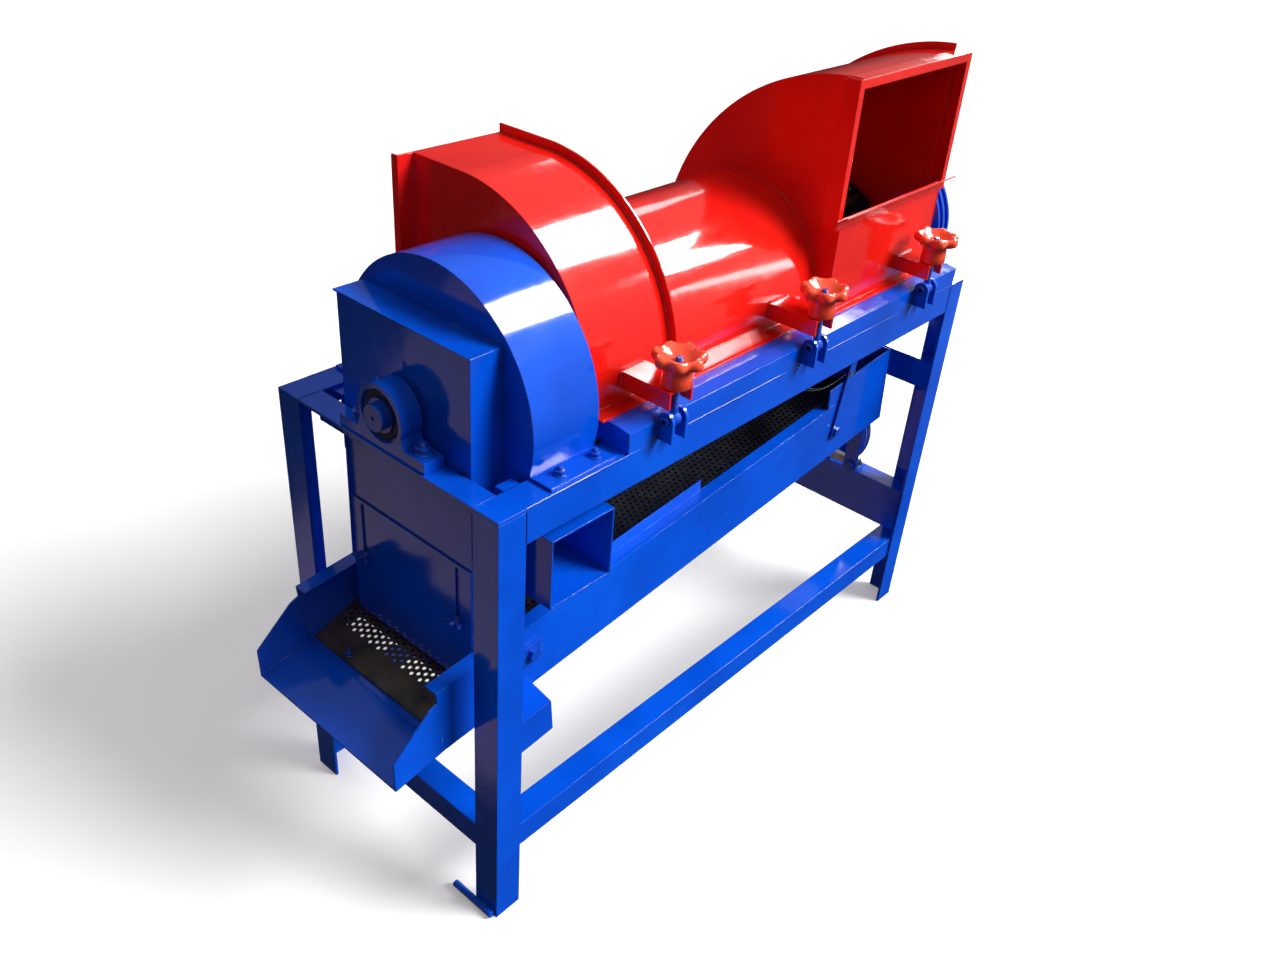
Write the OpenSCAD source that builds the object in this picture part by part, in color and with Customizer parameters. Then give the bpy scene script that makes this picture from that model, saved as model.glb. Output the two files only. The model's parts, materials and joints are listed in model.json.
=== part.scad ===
// Axial-flow grain sheller with suction fan and shaking sieve tray, on an angle-iron stand.
// X runs from the fan end to the feed end, Y from the front side to the back, Z up from the floor.

/* [Stand] */
// Length of the stand
frame_l = 1245; // [1240:1:1260]
// Width of the stand
frame_w = 484; // [480:1:490]
// Height of the stand's top face
frame_h = 792; // [790:1:796]
// Flange width of the angle iron
angle_w = 50; // [48:1:50]
// Thickness of the angle iron
angle_t = 5; // [4:0.5:5]
// Depth of the top rails' outer flange
rail_drop = 58; // [50:1:60]
// Height of the lower rails' top face
lower_z = 177; // [150:1:220]
// Height of the drive cross member's top face
drive_z = 302; // [302:1:304]

/* [Drum] */
// Height of the drum shaft's axis
axis_z = 845; // [845:1:846]
// Diameter of the drum shaft
shaft_d = 40; // [36:1:40]
// Radius swept by the drum's pegs
peg_tip_r = 150; // [130:1:155]
// Inner radius of the screen under the drum
screen_r = 166; // [164:1:167]
// Outer radius of the drum cover
cover_r = 172; // [171:1:173]
// Height of the drum cover's centre
cover_z = 857; // [857:1:860]
// Radius of the input pulley
input_r = 150; // [120:1:155]

/* [Fan] */
// Radius of the fan housing's upper half
fan_r = 201; // [198:1:203]
// Width of the fan housing
fan_w = 126; // [110:1:126]
// Width of the suction duct and intake box
duct_w = 278; // [260:2:280]
// Radius of the fan wheel
wheel_r = 165; // [120:1:170]

/* [Cover] */
// Thickness of the sheet metal
sheet = 2.5; // [2:0.5:3]
// Radius of the discharge scroll
scroll_r = 268; // [266:1:269]
// Radius of the feed hopper's back
hopper_r = 374; // [370:1:375]
// Distance between the cover clamps
clamp_pitch = 364; // [360:1:366]
// Radius of a star knob
knob_r = 41; // [36:1:42]

/* [Tray] */
// Slope of the sieve tray in degrees
tray_tilt = 5.6; // [5:0.1:6]
// Depth of the sieve tray
tray_h = 122; // [118:1:124]
// Outer width of the sieve tray
tray_w = 340; // [336:2:342]
// Throw of the eccentric that shakes the tray
throw = 4; // [3:0.5:4]

/* [Hidden] */
$fn = 96;

BLUE = "royalblue";
RED = "crimson";
STEEL = "silver";
DARK = "dimgray";

axis_y = frame_w / 2;
shaft_r = shaft_d / 2;
shaft_gap = 4;
// Ends of the whole machine, used to put the origin under its middle
shaft_x0 = -8;
shaft_x1 = 1352;
shaft_step_x = 1324;
chute_reach = 92;
tray_x0 = -40;
tray_z0 = 362;
clamp_y = -14;
x_low = tray_x0 - chute_reach;
mid_x = (x_low + shaft_x1) / 2;
mid_y = (clamp_y - knob_r + frame_w) / 2;

// Fan end
duct_x0 = 45;
fan_x0 = 100;
duct_y0 = axis_y - duct_w / 2;
box_top = 970;
duct_joint_z = 790;
duct_low_z = 425;
duct_front_low_z = 480;
eye_r = 95;
casing_y0 = 52;
casing_r = axis_y - casing_y0;
casing_z = 784;
outlet_low = casing_z - casing_r;
outlet_top = 713;
fan_foot = 5;
fan_bolt_x = [135, 205];
fan_bolt_y = 25;
gate_t = 2.5;
gate_gap = 0.2;
gate_top = 632;
gate_low = 412;
stud_r = 4;
stud_z = 530;
stud_off = 110;

// Bearings
block_w = 36;
block_inset = 21;
block_base_l = 184;
block_base_h = 18;
block_ring_r = 48;
insert_r = 40;
inner_ring_r = 26;
block_bolt_off = 68;
block_bolt_r = 7;

// Cover and its seat
seat_x0 = 247;
seat_x1 = 1198;
seat_z = 830;
seat_t = 3;
seat_in = 73;
cover_x0 = 236;
scroll_x1 = 412;
hopper_x0 = 800;
cover_x1 = 1135;
rim_h = 14;
scroll_y = 336;
scroll_z = 846;
scroll_back = 445;
scroll_lip_z = 868;
hopper_y = 42.4;
hopper_z = 853.6;
hopper_front = 42;
mouth_low = 1001;
mouth_slide = 66;
flange_y = 42;
cover_in = cover_r - sheet;

// Clamps
clamp_x0 = 325;
clamp_xs = [for (i = [0:2]) clamp_x0 + i * clamp_pitch];
clamp_back = [68, 70, hopper_front];
bracket_w = 52;
bracket_top = 882;
bracket_low = 855;
bracket_t = 4;
pin_z = 830;
pin_r = 5;
bolt_r = 6;
run_gap = 0.05;
knob_z0 = bracket_top + 1.5;
knob_stem_h = 30;
knob_cap_h = 22;

// Tray
tray_l = 1200;
tray_t = 3;
tray_y0 = axis_y - tray_w / 2;
tray_y1 = axis_y + tray_w / 2;
tray_flange = 25;
raised_s = 985;
raised_h = 165;
screen_h = 52;
tail_s0 = 12;
tail_s1 = 190;
tail_h0 = 5;
spout_s0 = 102;
spout_w = 70;
strap_y = 66.5;
strap_t = 3;
strap_w = 22;
strap_top_z = 715;
strap_low_h = 62;
strap_lean = [4, 34];
hanger_xs = [76, 996];

// Sieve drive
ecc_z = 350;
ecc_r = 12;
crank_x = 1162;
crank_pin_r = 10;
rod_y = 110;
rod_pin_r = 8;
belt_x = 1262;
belt_w = 10;
belt_t = 7.6;
belt_gap = 0.4;
sieve_pulley_r = 51;
ecc_pulley_r = 91;
groove_h = 9;

// ---------- helpers ----------

module placed() translate([-mid_x, -mid_y, 0]) children();

// A box given by its low and high corners
module slab(a, b) translate(a) cube(b - a);

// Extrudes a profile drawn in Y and Z along X
module yz(x0, w) translate([x0, 0, 0]) rotate([90, 0, 90]) linear_extrude(height = w) children();

// Extrudes a profile drawn in X and Z along Y
module xz(y0, w) translate([0, y0 + w, 0]) rotate([90, 0, 0]) linear_extrude(height = w) children();

// A round bar along X or Y
module bar_x(x0, x1, y, z, r) translate([x0, y, z]) rotate([0, 90, 0]) cylinder(r = r, h = x1 - x0);
module bar_y(y0, y1, x, z, r) translate([x, y0, z]) rotate([-90, 0, 0]) cylinder(r = r, h = y1 - y0);

// A hexagon head along X or Y
module hex_x(x0, x1, y, z, r) translate([x0, y, z]) rotate([0, 90, 0]) cylinder(r = r, h = x1 - x0, $fn = 6);
module hex_y(y0, y1, x, z, r) translate([x, y0, z]) rotate([-90, 0, 0]) cylinder(r = r, h = y1 - y0, $fn = 6);

// Low end of a width w that starts at p and runs in direction d
function low(p, d, w) = d > 0 ? p : p - w;

// Mirrors a Y value about the machine's middle
function across(y, back) = back ? frame_w - y : y;

// The same box at the front side, or mirrored to the back side
module side_slab(x0, x1, ya, yb, z0, z1, back) {
    y0 = min(across(ya, back), across(yb, back));
    y1 = max(across(ya, back), across(yb, back));
    slab([x0, y0, z0], [x1, y1, z1]);
}

// The tray's own sloping frame: s along its floor, h above it
module on_tray() translate([tray_x0, 0, tray_z0]) rotate([0, -tray_tilt, 0]) children();

// ---------- stand ----------

module leg(x, y, dx, dy) {
    color(BLUE) placed() {
        translate([low(x, dx, angle_w), low(y, dy, angle_t), 0])
            cube([angle_w, angle_t, frame_h - angle_t]);
        translate([low(x, dx, angle_t), low(y, dy, angle_w), 0])
            cube([angle_t, angle_w, frame_h - angle_t]);
    }
}

// Welded tab that a hanger strap's upper end is bolted to
module hanger_tab(x, back) {
    tab_w = 30;
    difference() {
        union() {
            side_slab(x - tab_w / 2, x + tab_w / 2, 15, 74, frame_h - angle_t - 4, frame_h - angle_t, back);
            side_slab(x - tab_w / 2, x + tab_w / 2, 70, 74, strap_top_z - 22, frame_h - angle_t, back);
        }
        bar_y(-1, frame_w + 1, x, strap_top_z, pin_r);
    }
}

module top_rail(back) {
    color(BLUE) placed() difference() {
        union() {
            side_slab(0, frame_l, 0, angle_w, frame_h - angle_t, frame_h, back);
            side_slab(angle_w, frame_l - angle_w, 0, angle_t, frame_h - rail_drop, frame_h, back);
            for (x = hanger_xs) hanger_tab(x, back);
        }
        for (x = fan_bolt_x)
            translate([x, across(fan_bolt_y, back), frame_h - 20]) cylinder(r = 5, h = 30);
    }
}

module end_rail(x_out, d) {
    rail_w = 42;
    web_h = 50;
    color(BLUE) placed() difference() {
        union() {
            translate([low(x_out, d, rail_w), angle_w, frame_h - angle_t])
                cube([rail_w, frame_w - 2 * angle_w, angle_t]);
            translate([low(x_out + d * (rail_w - angle_t), d, angle_t), angle_w, frame_h - web_h])
                cube([angle_t, frame_w - 2 * angle_w, web_h]);
        }
        for (s = [-1, 1])
            translate([x_out + d * block_inset, axis_y + s * block_bolt_off, frame_h - 20])
                cylinder(r = block_bolt_r, h = 30);
    }
}

module lower_rails() {
    flange_h = 48;
    color(BLUE) placed() for (back = [false, true]) {
        side_slab(angle_t, frame_l - angle_t, angle_t, angle_w, lower_z - angle_t, lower_z, back);
        side_slab(angle_t, frame_l - angle_t, angle_t, 2 * angle_t, lower_z - flange_h, lower_z, back);
    }
}

module lower_cross_rail() {
    flange_h = 48;
    color(BLUE) placed() {
        slab([angle_t, angle_w, lower_z - angle_t], [angle_w, frame_w - angle_w, lower_z]);
        slab([angle_t, angle_w, lower_z - flange_h], [2 * angle_t, frame_w - angle_w, lower_z]);
    }
}

// Angle across the far end, with its web towards the fan
module cross_member(x0, z_top, web_h) {
    x1 = frame_l - angle_t;
    slab([x0, angle_t, z_top - web_h], [x0 + angle_t, frame_w - angle_t, z_top]);
    slab([x0, angle_t, z_top - angle_t], [x1, frame_w - angle_t, z_top]);
}

module far_cross_members() {
    color(BLUE) placed() {
        cross_member(1195, drive_z, 102);
        cross_member(1200, 615, 60);
    }
}

module foot_bar() {
    color(BLUE) placed() bar_y(5, 95, -6, 8, 6);
}

// Bent sheet channels on the top rails that the cover sits on, with closed ends
module side_members() {
    fold_y = 25;
    fold_drop = 4;
    outer = [[0, frame_h], [0, seat_z - fold_drop], [fold_y, seat_z], [seat_in, seat_z], [seat_in, frame_h]];
    color(BLUE) placed() for (back = [false, true])
        translate([0, back ? frame_w : 0, 0]) scale([1, back ? -1 : 1, 1]) difference() {
            yz(seat_x0, seat_x1 - seat_x0) polygon(outer);
            yz(seat_x0 + seat_t, seat_x1 - seat_x0 - 2 * seat_t)
                polygon([[seat_t, frame_h - 1], [seat_t, seat_z - fold_drop - seat_t], [fold_y, seat_z - seat_t],
                    [seat_in - seat_t, seat_z - seat_t], [seat_in - seat_t, frame_h - 1]]);
        }
}

// ---------- fan end ----------

module intake_box() {
    y1 = duct_y0 + duct_w;
    color(BLUE) placed() difference() {
        union() {
            slab([duct_x0, duct_y0, duct_joint_z], [fan_x0, y1, box_top]);
            slab([duct_x0, duct_y0, box_top - sheet], [fan_x0, y1 + 9, box_top]);
        }
        slab([duct_x0 + sheet, duct_y0 + sheet, duct_joint_z - 1], [fan_x0 + 1, y1 - sheet, box_top - sheet]);
        bar_x(duct_x0 - 1, duct_x0 + 10, axis_y, axis_z, shaft_r + shaft_gap);
    }
}

// Side outline of the fan housing, drawn inwards by d
module fan_outline(d) {
    top_h = 300;
    intersection() {
        translate([axis_y, axis_z]) circle(r = fan_r - d);
        translate([0, frame_h]) square([frame_w, top_h]);
    }
    intersection() {
        translate([axis_y, casing_z]) circle(r = casing_r - d);
        translate([casing_y0, outlet_low]) square([2 * casing_r, casing_r]);
    }
    translate([casing_y0 + d, casing_z - 1]) square([2 * (casing_r - d), frame_h - casing_z + 2]);
    translate([casing_y0 + d, outlet_low + d]) square([casing_r - d, casing_z - outlet_low - d]);
    translate([0, outlet_low + d]) square([axis_y, outlet_top - outlet_low - 2 * d]);
}

module fan_housing() {
    color(BLUE) placed() difference() {
        union() {
            yz(fan_x0, fan_w) fan_outline(0);
            for (back = [false, true])
                side_slab(fan_x0, fan_x0 + fan_w, fan_foot, casing_y0 + 6, frame_h, frame_h + 5, back);
        }
        yz(fan_x0 + sheet, fan_w - 2 * sheet) {
            fan_outline(sheet);
            translate([-1, outlet_low + sheet]) square([10, outlet_top - outlet_low - 2 * sheet]);
        }
        bar_x(fan_x0 - 1, fan_x0 + 10, axis_y, axis_z, eye_r);
        bar_x(fan_x0 + 10, fan_x0 + fan_w + 1, axis_y, axis_z, shaft_r + shaft_gap);
        for (x = fan_bolt_x, back = [false, true])
            translate([x, across(fan_bolt_y, back), frame_h - 1]) cylinder(r = 5, h = 10);
    }
}

module suction_duct() {
    y1 = duct_y0 + duct_w;
    color(BLUE) placed() difference() {
        slab([duct_x0, duct_y0, duct_low_z], [fan_x0, y1, duct_joint_z]);
        slab([duct_x0 + sheet, duct_y0 + sheet, duct_low_z - 1], [fan_x0 - sheet, y1 - sheet, duct_joint_z + 1]);
        slab([duct_x0 - 1, duct_y0 + sheet, duct_low_z - 1], [duct_x0 + 10, y1 - sheet, duct_front_low_z]);
        bar_x(fan_x0 - 10, fan_x0 + 1, axis_y, axis_z, eye_r);
    }
}

module slide_gate() {
    slot_r = stud_r + 0.5;
    slot_l = 92;
    x1 = duct_x0 - gate_gap;
    color(BLUE) placed() difference() {
        slab([x1 - gate_t, duct_y0, gate_low], [x1, duct_y0 + duct_w, gate_top]);
        for (s = [-1, 1]) {
            y = axis_y + s * stud_off;
            bar_x(x1 - 10, x1 + 5, y, stud_z, slot_r);
            bar_x(x1 - 10, x1 + 5, y, stud_z + slot_l, slot_r);
            slab([x1 - 10, y - slot_r, stud_z], [x1 + 5, y + slot_r, stud_z + slot_l]);
        }
    }
}

module wing_nut(side) {
    x1 = duct_x0 - gate_gap - gate_t - 0.4;
    y = axis_y + side * stud_off;
    color(STEEL) placed() difference() {
        union() {
            bar_x(x1 - 9, x1, y, stud_z, 8);
            slab([x1 - 15, y - 19, stud_z - 2], [x1 - 3, y + 19, stud_z + 2]);
        }
        bar_x(x1 - 20, x1 + 1, y, stud_z, stud_r + run_gap);
    }
}

// ---------- bearings and drum ----------

module pillow_block(x) {
    color(BLUE) placed() difference() {
        union() {
            yz(x - block_w / 2, block_w) {
                translate([axis_y - block_base_l / 2, frame_h]) square([block_base_l, block_base_h]);
                translate([axis_y, axis_z]) circle(r = block_ring_r);
                polygon([[axis_y - 56, frame_h + 2], [axis_y + 56, frame_h + 2],
                    [axis_y + 40, axis_z - 8], [axis_y - 40, axis_z - 8]]);
            }
        }
        bar_x(x - block_w, x + block_w, axis_y, axis_z, insert_r);
        for (s = [-1, 1])
            translate([x, axis_y + s * block_bolt_off, frame_h - 1]) cylinder(r = block_bolt_r, h = 30);
    }
}

module bearing_rings(r_out, r_in, w) {
    for (x = [block_inset, frame_l - block_inset]) difference() {
        bar_x(x - w / 2, x + w / 2, axis_y, axis_z, r_out);
        bar_x(x - w, x + w, axis_y, axis_z, r_in);
    }
}

module bearing_outer_rings() {
    color(STEEL) placed() bearing_rings(insert_r, inner_ring_r + 0.4, 26);
}

module bearing_inner_rings() {
    color(STEEL) placed() bearing_rings(inner_ring_r, shaft_r, 34);
}

module drum_shaft() {
    centre_r = 3;
    color(STEEL) placed() difference() {
        union() {
            bar_x(shaft_x0, shaft_step_x, axis_y, axis_z, shaft_r);
            bar_x(shaft_step_x - 1, shaft_x1, axis_y, axis_z, shaft_r - 3);
        }
        bar_x(shaft_x0 - 1, shaft_x0 + 8, axis_y, axis_z, centre_r);
    }
}

disc_xs = [264, 546, 828, 1110];
disc_t = 6;
disc_r = 112;
bar_pitch_r = 98;
bar_r = 9;
bar_count = 6;

module drum_discs() {
    color(DARK) placed() for (x = disc_xs) difference() {
        bar_x(x, x + disc_t, axis_y, axis_z, disc_r);
        bar_x(x - 1, x + disc_t + 1, axis_y, axis_z, shaft_r);
        for (i = [0:bar_count - 1]) {
            a = i * 360 / bar_count;
            bar_x(x - 1, x + disc_t + 1, axis_y + bar_pitch_r * cos(a), axis_z + bar_pitch_r * sin(a), bar_r);
        }
    }
}

// Six bars along the drum, each with its row of pegs, alternate rows staggered
module peg_bars() {
    peg_r = 6;
    peg_gap = 94;
    peg_n = 9;
    color(DARK) placed() for (i = [0:bar_count - 1])
        translate([0, axis_y, axis_z]) rotate([i * 360 / bar_count, 0, 0]) {
            bar_x(disc_xs[0] - 8, disc_xs[3] + disc_t + 8, bar_pitch_r, 0, bar_r);
            for (k = [0:peg_n - 1])
                bar_y(bar_pitch_r, peg_tip_r, 290 + (i % 2) * peg_gap / 2 + k * 92, 0, peg_r);
        }
}

module fan_wheel() {
    hub_r = 34;
    blade_x0 = 118;
    disc_x = 206;
    blade_t = 3;
    color(DARK) placed() difference() {
        union() {
            bar_x(blade_x0 + 20, disc_x + 4, axis_y, axis_z, hub_r);
            bar_x(disc_x, disc_x + 4, axis_y, axis_z, wheel_r - 25);
            for (i = [0:5]) translate([0, axis_y, axis_z]) rotate([i * 60, 0, 0])
                slab([blade_x0, hub_r - 4, -blade_t / 2], [disc_x + 1, wheel_r, blade_t / 2]);
        }
        bar_x(blade_x0 - 20, disc_x + 20, axis_y, axis_z, shaft_r);
    }
}

// Square-bottomed belt groove between two flanges
module grooved_rim(x, r_out, r_groove) {
    half = belt_w / 2 + belt_gap;
    difference() {
        bar_x(x - 10, x + 10, 0, 0, r_out);
        difference() {
            bar_x(x - half, x + half, 0, 0, r_out + 1);
            bar_x(x - half - 1, x + half + 1, 0, 0, r_groove);
        }
    }
}

module stepped_pulley() {
    rim_x0 = 1278;
    rim_x1 = 1322;
    web_r = 128;
    color(BLUE) placed() translate([0, axis_y, axis_z]) difference() {
        union() {
            grooved_rim(belt_x, sieve_pulley_r + groove_h, sieve_pulley_r);
            bar_x(belt_x + 10, rim_x0 + 12, 0, 0, 40);
            difference() {
                bar_x(rim_x0, rim_x1, 0, 0, input_r);
                for (x = [1290, 1310]) difference() {
                    bar_x(x - 6, x + 6, 0, 0, input_r + 1);
                    bar_x(x - 7, x + 7, 0, 0, input_r - 12);
                }
                bar_x(rim_x0 + 14, rim_x1 + 1, 0, 0, web_r);
            }
            bar_x(rim_x0 + 12, rim_x1, 0, 0, 36);
        }
        bar_x(belt_x - 20, rim_x1 + 20, 0, 0, shaft_r);
        for (i = [0:4]) rotate([i * 72, 0, 0])
            bar_x(rim_x0 - 1, rim_x0 + 20, 84, 0, 24);
    }
}

// Half-round screen under the drum, with a straight strip along each side member
module drum_screen() {
    shell = 3;
    strip_low = 807;
    color(DARK) placed() yz(cover_x0 + sheet + 0.5, cover_x1 - cover_x0 - 2 * sheet - 1) {
        intersection() {
            difference() {
                translate([axis_y, axis_z]) circle(r = screen_r + shell);
                translate([axis_y, axis_z]) circle(r = screen_r);
            }
            translate([0, 600]) square([frame_w, seat_z - seat_t - 600]);
        }
        for (back = [false, true])
            translate([across(seat_in, back) - (back ? 4 : 0), strip_low])
                square([4, seat_z - seat_t - strip_low]);
    }
}

// Blue half discs that close the screen's ends below the cover
module end_plates() {
    color(BLUE) placed() for (x = [cover_x0, cover_x1 - sheet]) yz(x, sheet) difference() {
        intersection() {
            translate([axis_y, axis_z]) circle(r = screen_r + 3);
            translate([0, 600]) square([frame_w, seat_z - seat_t - 600]);
        }
        translate([axis_y, axis_z]) circle(r = shaft_r + shaft_gap);
    }
}

// ---------- cover ----------

// Flat flange strips that rest on the side members
module cover_flanges(x0, x1, y_wall) {
    for (back = [false, true])
        side_slab(x0, x1, flange_y, y_wall + 1, seat_z, seat_z + seat_t, back);
}

// Section of the round drum cover, drawn inwards by d
module cover_section(d) {
    intersection() {
        translate([axis_y, cover_z]) circle(r = cover_r - d);
        translate([0, cover_z]) square([frame_w, 300]);
    }
    translate([axis_y - cover_r + d, seat_z]) square([2 * (cover_r - d), cover_z - seat_z + 1]);
}

module drum_cover() {
    color(RED) placed() {
        yz(scroll_x1, hopper_x0 - scroll_x1) difference() {
            cover_section(0);
            cover_section(sheet);
            translate([axis_y - cover_in, seat_z - 1]) square([2 * cover_in, 10]);
        }
        cover_flanges(scroll_x1, hopper_x0, axis_y - cover_r);
    }
}

// Outline of the discharge scroll, drawn inwards by d; its mouth faces the back
module scroll_outline(d) {
    intersection() {
        translate([scroll_y, scroll_z]) circle(r = scroll_r - d);
        translate([0, scroll_z]) square([scroll_y, 400]);
    }
    translate([scroll_y - 1, scroll_z]) square([scroll_back - scroll_y + 1, scroll_r - d]);
    translate([scroll_y - scroll_r + d, seat_z])
        square([frame_w - 2 * (scroll_y - scroll_r + d), scroll_z - seat_z + 1]);
}

module discharge_housing() {
    x1 = scroll_x1;
    rim_t = 3;
    mouth_flange = 30;
    near_lip_z = scroll_lip_z + 12;
    top = scroll_z + scroll_r;
    back_wall = frame_w - (scroll_y - scroll_r);
    color(RED) placed() difference() {
        union() {
            yz(cover_x0, x1 - cover_x0) scroll_outline(0);
            yz(x1 - rim_t, rim_t) {
                intersection() {
                    translate([scroll_y, scroll_z]) circle(r = scroll_r + rim_h);
                    translate([0, seat_z + 40]) square([scroll_y, 400]);
                }
                translate([scroll_y - 1, scroll_z]) square([scroll_back - scroll_y + 1, scroll_r + rim_h]);
            }
            cover_flanges(cover_x0, x1, scroll_y - scroll_r);
            slab([cover_x0 - mouth_flange, scroll_back - 4, near_lip_z], [cover_x0, scroll_back, top]);
            slab([x1, scroll_back - 4, scroll_lip_z], [x1 + mouth_flange, scroll_back, top]);
            slab([cover_x0 - mouth_flange, scroll_back, near_lip_z],
                [cover_x0 - mouth_flange + 3, scroll_back + 10, top]);
            slab([x1 + mouth_flange - 3, scroll_back, scroll_lip_z], [x1 + mouth_flange, scroll_back + 10, top]);
        }
        difference() {
            yz(cover_x0 + sheet, x1 - cover_x0 - rim_t - sheet) scroll_outline(sheet);
            slab([cover_x0, back_wall - sheet, 0], [x1, frame_w, scroll_lip_z]);
        }
        slab([cover_x0 + sheet, scroll_back - 5, scroll_lip_z], [x1 - rim_t, scroll_back + 20, top - sheet]);
        slab([cover_x0 + sheet, axis_y - cover_in, seat_z - 1], [x1 - rim_t, axis_y + cover_in, seat_z + 10]);
        slab([cover_x0 - 1, back_wall, seat_z + seat_t], [x1 + 1, scroll_back + 1, scroll_lip_z - sheet]);
        yz(x1 - rim_t - 1, rim_t + 2) intersection() {
            cover_section(sheet);
            translate([0, seat_z - 1]) square([frame_w, 400]);
        }
        slab([x1 - rim_t - 1, axis_y - cover_in, seat_z - 1], [x1 + 1, axis_y + cover_in, seat_z + 20]);
        bar_x(cover_x0 - 1, cover_x0 + 10, axis_y, axis_z, shaft_r + shaft_gap);
    }
}

// Outline of the feed hopper, drawn inwards by d
module hopper_outline(d) {
    intersection() {
        translate([hopper_y, hopper_z]) circle(r = hopper_r - d);
        translate([mouth_slide - 2 * d, hopper_z]) square([400, 400]);
    }
    translate([hopper_front + d, hopper_z - 1]) square([mouth_slide - hopper_front - d + 1, mouth_low - hopper_z + 1]);
    translate([hopper_front + d, seat_z]) square([hopper_y + hopper_r - hopper_front - 2 * d, hopper_z - seat_z + 1]);
}

module feed_hopper() {
    far_t = 3;
    chan = 14;
    chan_t = 3;
    x0 = hopper_x0;
    x1 = cover_x1;
    top = hopper_z + hopper_r;
    color(RED) placed() {
        difference() {
            union() {
                yz(x0, x1 - x0) hopper_outline(0);
                yz(x1 - far_t, far_t) intersection() {
                    translate([hopper_y, hopper_z]) circle(r = hopper_r + rim_h - 2);
                    translate([mouth_slide, hopper_z]) square([400, 400]);
                }
            }
            yz(x0 + sheet, x1 - x0 - sheet - far_t) hopper_outline(sheet);
            slab([x0 + sheet, mouth_slide - 5, mouth_low], [x1 - far_t, mouth_slide + 5, top - 4]);
            slab([x0 + sheet, hopper_front + sheet, seat_z - 1], [x1 - far_t, 413, seat_z + 10]);
            slab([x0 + sheet, hopper_front + sheet, mouth_low - 10], [x1 - far_t, mouth_slide + 5, mouth_low + 1]);
            yz(x0 - 1, sheet + 2) intersection() {
                cover_section(sheet);
                translate([0, seat_z - 1]) square([frame_w, 400]);
            }
            slab([x0 - 1, axis_y - cover_in, seat_z - 1], [x0 + sheet + 1, axis_y + cover_in, seat_z + 20]);
            bar_x(x1 - 10, x1 + 1, axis_y, axis_z, shaft_r + shaft_gap);
        }
        side_slab(x0, x1, 30, hopper_front + 1, seat_z, seat_z + seat_t, false);
        side_slab(x0, x1, flange_y, frame_w - hopper_y - hopper_r + 1, seat_z, seat_z + seat_t, true);
        for (side = [-1, 1]) {
            xe = side < 0 ? x0 : x1;
            slab([low(xe, side, chan), hopper_front - 2, mouth_low - 16],
                [low(xe, side, chan) + chan, hopper_front - 2 + chan_t, top]);
            slab([low(xe + side * (chan - chan_t), side, chan_t), hopper_front - 2, mouth_low - 16],
                [low(xe + side * (chan - chan_t), side, chan_t) + chan_t, mouth_slide, top]);
            slab([low(xe, side, chan), mouth_slide - chan_t, mouth_low - 16],
                [low(xe, side, chan) + chan, mouth_slide + chan_t, top - 4]);
        }
        slab([x0, hopper_front - 2, top - 15], [x1, hopper_front - 2 + chan_t, top]);
        slab([x0, hopper_front - 2, top - sheet], [x1, mouth_slide + 1, top]);
        xe = x1 + chan;
        yz(x0 - chan, xe - x0 + chan)
            polygon([[hopper_front - 2, mouth_low - 16], [hopper_front, mouth_low - 16],
                [hopper_front, mouth_low - 2], [22, mouth_low + 12], [20, mouth_low + 10],
                [hopper_front - 2, mouth_low - 3]]);
    }
}

// Inverted channels on the cover, each with an open slot for its swing bolt
module clamp_brackets() {
    y0 = clamp_y - 10;
    slot_r = 8;
    color(RED) placed() for (i = [0:2]) {
        x = clamp_xs[i];
        difference() {
            slab([x - bracket_w / 2, y0, bracket_low], [x + bracket_w / 2, clamp_back[i], bracket_top]);
            slab([x - bracket_w / 2 + bracket_t, y0 - 1, bracket_low - 1],
                [x + bracket_w / 2 - bracket_t, clamp_back[i] + 1, bracket_top - bracket_t]);
            translate([x, clamp_y, bracket_low]) cylinder(r = slot_r, h = 50);
            slab([x - slot_r, y0 - 1, bracket_low], [x + slot_r, clamp_y, bracket_top + 1]);
        }
    }
}

// Butt hinges along the cover's back edge
module cover_hinges() {
    hinge_w = 70;
    knuckle_r = 7;
    y = 452;
    z = seat_z + knuckle_r + 2;
    color(RED) placed() for (x = clamp_xs) {
        bar_x(x - hinge_w / 2, x + hinge_w / 2, y, z, knuckle_r);
        slab([x - hinge_w / 2, 426, seat_z + seat_t], [x + hinge_w / 2, y, seat_z + seat_t + 3]);
        slab([x - hinge_w / 2 - 8, y - 6, seat_z], [x + hinge_w / 2 + 8, y + 20, seat_z + 2]);
    }
}

// ---------- clamps ----------

module clevises() {
    ear_in = 12;
    ear_t = 6;
    ear_low = 797;
    reach = -2 * clamp_y;
    color(BLUE) placed() for (x = clamp_xs, s = [-1, 1])
        difference() {
            yz(low(x + s * ear_in, s, ear_t), ear_t) {
                translate([clamp_y, pin_z]) circle(r = reach / 2);
                translate([-reach, ear_low]) square([reach, pin_z - ear_low]);
            }
            bar_x(x - 40, x + 40, clamp_y, pin_z, pin_r);
        }
}

module clevis_pins() {
    color(STEEL) placed() for (x = clamp_xs) {
        bar_x(x - 22, x + 22, clamp_y, pin_z, pin_r);
        for (s = [-1, 1]) bar_x(low(x + s * 18.5, s, 3.5), low(x + s * 18.5, s, 3.5) + 3.5, clamp_y, pin_z, 8);
    }
}

module swing_bolt(i) {
    x = clamp_xs[i];
    color(STEEL) placed() difference() {
        union() {
            bar_x(x - 8, x + 8, clamp_y, pin_z, 11);
            translate([x, clamp_y, pin_z]) cylinder(r = bolt_r, h = knob_z0 + knob_stem_h + 8 - pin_z);
        }
        bar_x(x - 10, x + 10, clamp_y, pin_z, pin_r + run_gap);
    }
}

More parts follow.
